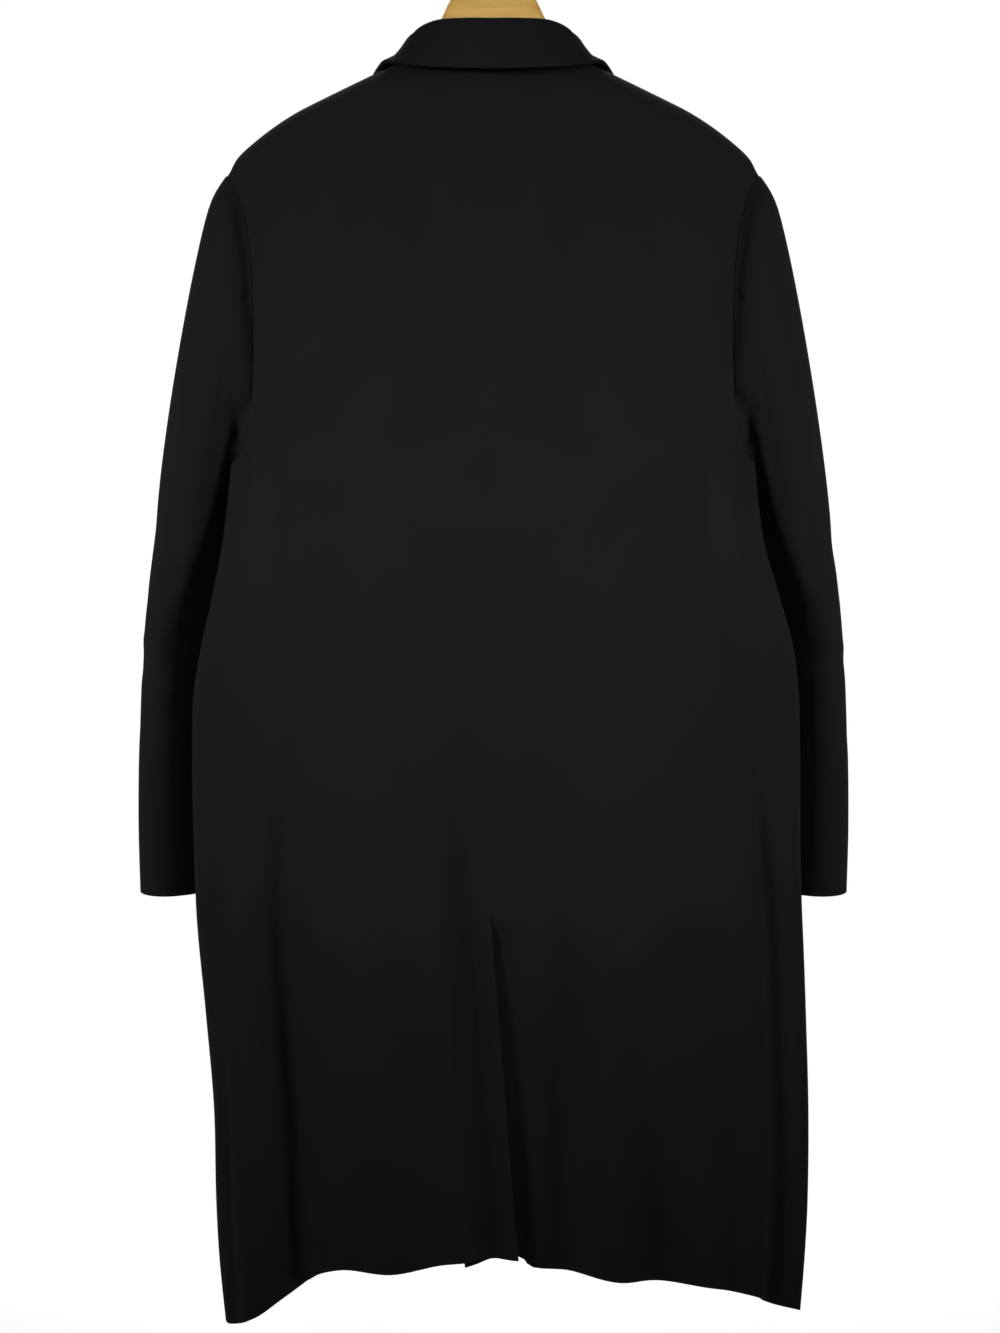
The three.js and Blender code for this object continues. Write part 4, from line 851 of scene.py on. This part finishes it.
def rampNode(nodes, links, value, low, high, first, second):
    node = nodes.new("ShaderNodeValToRGB")
    node.color_ramp.elements[0].position, node.color_ramp.elements[1].position = low, high
    node.color_ramp.elements[0].color, node.color_ramp.elements[1].color = (*first, 1), (*second, 1)
    links.new(value, node.inputs["Fac"])
    return node.outputs["Color"]


wool = {"dark": (0.0072, 0.0072, 0.0086), "light": (0.0125, 0.0125, 0.0145), "napScale": 900.0,
        "cloudScale": 9.0, "roughness": 0.95, "sheen": 0.01, "sheenRoughness": 0.5, "napHeight": 0.00025,
        "napBump": 0.6, "cloudDetail": 2.0, "cloudShare": 0.35, "darkBelow": 0.4, "lightAbove": 0.95,
        "gloss": 0.03}
grain = {"detail": 6.0, "roughness": 0.6, "darkBelow": 0.3, "lightAbove": 0.72}


def bumpFrom(nodes, links, shader, height, strength, distance):     # a height field as fine relief
    bump = nodes.new("ShaderNodeBump")
    setInputs(bump, {"Strength": strength, "Distance": distance})
    links.new(height, bump.inputs["Height"])
    links.new(bump.outputs["Normal"], shader.inputs["Normal"])


def woolMaterial():
    made, nodes, links, shader = newMaterial("wool")
    where = nodes.new("ShaderNodeUVMap")
    where.uv_map = "cloth"
    nap = noiseNode(nodes, links, where.outputs["UV"], wool["napScale"])
    cloud = noiseNode(nodes, links, where.outputs["UV"], wool["cloudScale"], wool["cloudDetail"])
    both = nodes.new("ShaderNodeMath")
    both.operation = "MULTIPLY_ADD"
    both.inputs[1].default_value = wool["cloudShare"]
    links.new(cloud, both.inputs[0])
    links.new(nap, both.inputs[2])
    colour = rampNode(nodes, links, both.outputs[0], wool["darkBelow"], wool["lightAbove"],
                      wool["dark"], wool["light"])
    links.new(colour, shader.inputs["Base Color"])
    setInputs(shader, {"Roughness": wool["roughness"], "Specular IOR Level": wool["gloss"],
                       "Sheen Weight": wool["sheen"], "Sheen Roughness": wool["sheenRoughness"]})
    bumpFrom(nodes, links, shader, nap, wool["napBump"], wool["napHeight"])
    return made


# a material whose colour and roughness follow one noise, stretched along an axis of the object
def grainedMaterial(look, name):
    made, nodes, links, shader = newMaterial(name)
    where = nodes.new("ShaderNodeTexCoord")
    stretch = nodes.new("ShaderNodeMapping")
    setInputs(stretch, {"Scale": look["scale"]})
    links.new(where.outputs["Object"], stretch.inputs["Vector"])
    noise = noiseNode(nodes, links, stretch.outputs["Vector"], 1.0, grain["detail"], grain["roughness"])
    colour = rampNode(nodes, links, noise, grain["darkBelow"], grain["lightAbove"],
                      look["dark"], look["light"])
    links.new(colour, shader.inputs["Base Color"])
    rough = nodes.new("ShaderNodeMapRange")
    setInputs(rough, dict(zip(("To Min", "To Max"), look["roughness"])))
    links.new(noise, rough.inputs["Value"])
    links.new(rough.outputs["Result"], shader.inputs["Roughness"])
    setInputs(shader, {"Metallic": look.get("metallic", 0.0)})
    bumpFrom(nodes, links, shader, noise, look["bump"], look["grainHeight"])
    return made


looks = {               # scale is the noise's, for each metre along X, Y and Z
    "beech": {"scale": (6, 90, 90), "dark": (0.66, 0.37, 0.075), "light": (0.90, 0.57, 0.15),
              "roughness": (0.34, 0.46), "bump": 0.3, "grainHeight": 0.0002},
    "horn": {"scale": (90, 90, 160), "dark": (0.006, 0.005, 0.005), "light": (0.030, 0.022, 0.018),
             "roughness": (0.25, 0.45), "bump": 0.15, "grainHeight": 0.0001},
    "steel": {"scale": (300, 300, 40), "dark": (0.66, 0.66, 0.68), "light": (0.74, 0.74, 0.76),
              "roughness": (0.26, 0.36), "bump": 0.02, "grainHeight": 0.00002, "metallic": 1.0},
    "thread": {"scale": (1500, 1500, 1500), "dark": (0.006, 0.006, 0.007), "light": (0.014, 0.014, 0.016),
               "roughness": (0.6, 0.85), "bump": 0.5, "grainHeight": 0.0002},
    "floor": {"scale": (2, 2, 2), "dark": (0.92, 0.92, 0.92), "light": (0.95, 0.95, 0.95),
              "roughness": (0.85, 0.95), "bump": 0.0, "grainHeight": 0.0001},
}
woolCloth = woolMaterial()
beech, horn, steel, threadBlack = (grainedMaterial(looks[name], name)
                                   for name in ("beech", "horn", "steel", "thread"))


def finishPiece(obj, material, node=None):
    obj.data.materials.append(material)
    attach(obj, "root")
    if node:
        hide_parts(node)


finishPiece(wood, beech, "hanger_body")
finishPiece(wire, steel, "hanger_hook")
for obj in threads:
    finishPiece(obj, threadBlack)
for obj in slits:
    finishPiece(obj, threadBlack)
buttons = [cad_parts[f"button_{number}"] for number in range(1, len(button["heights"]) + 1)]
for obj in buttons:
    obj.data.materials.clear()
    obj.data.materials.append(horn)
for node, obj in clothObjects.items():
    finishPiece(obj, woolCloth, node)
for node, obj in clothObjects.items():
    kind, word = node.split("_")[0], node.split("_")[-1]
print("pieces placed:", len(clothObjects), "of cloth")


studio = {"cameraX": -0.006, "cameraY": 2.2, "cameraZ": -0.690, "lens": 66.0, "sensor": 36.0,
          "ambient": 0.042, "boxPower": 2.85, "rightShare": 0.92, "boxSize": 0.9, "boxSpread": 35.0,
          "boxX": 2.05, "boxY": 1.45, "boxZ": -0.15, "aim": (0.0, 0.05, -0.56),
          "keyPower": 0.5, "keySize": 1.0, "keyPlace": (0.0, 2.1, 0.5), "keySpread": 42.0,
          "floorPower": 110.0, "floorLightSize": 2.0, "floorLightPlace": (0.0, -1.9, 1.2),
          "floorZ": -1.46, "floorRadius": 2.6, "floorSides": 64, "floorFade": 1.5, "fadeShare": 0.75}

camera = addObject("camera", bpy.data.cameras.new("camera"))
camera.location = (studio["cameraX"], studio["cameraY"], studio["cameraZ"])
camera.rotation_euler = (math.pi / 2, 0, math.pi)
camera.data.lens = studio["lens"]
camera.data.sensor_width = studio["sensor"]
bpy.context.scene.camera = camera


def addLight(name, power, size, place, target, spread=180.0):
    data = bpy.data.lights.new(name, "AREA")
    data.energy, data.shape, data.size, data.spread = power, "DISK", size, math.radians(spread)
    obj = addObject(name, data)
    obj.location = place
    aim = np.array(target) - np.array(place)
    obj.rotation_mode = "QUATERNION"
    obj.rotation_quaternion = Vector(aim).to_track_quat("-Z", "Y")


# two softboxes, one on each side of the camera
for side, name, share in ((1, "left", 1.0), (-1, "right", studio["rightShare"])):
    addLight("softbox_" + name, studio["boxPower"] * share, studio["boxSize"],
             (side * studio["boxX"], studio["boxY"], studio["boxZ"]), studio["aim"], studio["boxSpread"])
addLight("key", studio["keyPower"], studio["keySize"], studio["keyPlace"], studio["aim"],
         studio["keySpread"])
overFloor = studio["floorLightPlace"]
addLight("behind", studio["floorPower"], studio["floorLightSize"], overFloor, (*overFloor[:2], 0.0))


# seen by the camera, the floor turns to the background's white away from its middle
def whiteTowardsRim(material, radius):
    nodes, links = material.node_tree.nodes, material.node_tree.links
    where, shrink = nodes.new("ShaderNodeTexCoord"), nodes.new("ShaderNodeMapping")
    setInputs(shrink, {"Scale": (1 / radius, 1 / radius, 0)})
    links.new(where.outputs["Object"], shrink.inputs["Vector"])
    fade = nodes.new("ShaderNodeTexGradient")
    fade.gradient_type = "SPHERICAL"
    links.new(shrink.outputs["Vector"], fade.inputs["Vector"])
    share = nodes.new("ShaderNodeMapRange")
    share.interpolation_type = "SMOOTHSTEP"
    setInputs(share, {"From Max": studio["fadeShare"], "To Min": 1.0, "To Max": 0.0})
    links.new(fade.outputs["Fac"], share.inputs["Value"])
    path, both = nodes.new("ShaderNodeLightPath"), nodes.new("ShaderNodeMath")
    both.operation = "MULTIPLY"
    links.new(share.outputs["Result"], both.inputs[0])
    links.new(path.outputs["Is Camera Ray"], both.inputs[1])
    white, mixed = nodes.new("ShaderNodeEmission"), nodes.new("ShaderNodeMixShader")
    links.new(both.outputs[0], mixed.inputs[0])
    links.new(nodes["Principled BSDF"].outputs[0], mixed.inputs[1])
    links.new(white.outputs[0], mixed.inputs[2])
    links.new(mixed.outputs[0], nodes["Material Output"].inputs["Surface"])


ground = bpy.data.meshes.new("floor")
turn = turnsRound(studio["floorSides"])
rim = np.stack([studio["floorRadius"] * np.cos(turn), studio["floorRadius"] * np.sin(turn),
                np.full(turn.shape, studio["floorZ"])], -1)
ground.from_pydata(rim.tolist(), [], [list(range(len(rim)))])
floor = addObject("floor", ground)
paleFloor = grainedMaterial(looks["floor"], "floor")
ground.materials.append(paleFloor)
whiteTowardsRim(paleFloor, studio["floorFade"])

world = bpy.data.worlds.new("studio")
world.use_nodes = True
bpy.context.scene.world = world
nodes, links = world.node_tree.nodes, world.node_tree.links
soft = nodes["Background"]
setInputs(soft, {"Color": (1, 1, 1, 1), "Strength": studio["ambient"]})
seen = nodes.new("ShaderNodeBackground")                # what the camera sees behind the coat
setInputs(seen, {"Color": (1, 1, 1, 1)})
path, mixed = nodes.new("ShaderNodeLightPath"), nodes.new("ShaderNodeMixShader")
links.new(path.outputs["Is Camera Ray"], mixed.inputs[0])
links.new(soft.outputs[0], mixed.inputs[1])
links.new(seen.outputs[0], mixed.inputs[2])
links.new(mixed.outputs[0], nodes["World Output"].inputs["Surface"])
bpy.context.scene.view_settings.view_transform = "Standard"
print("camera, light and floor made")
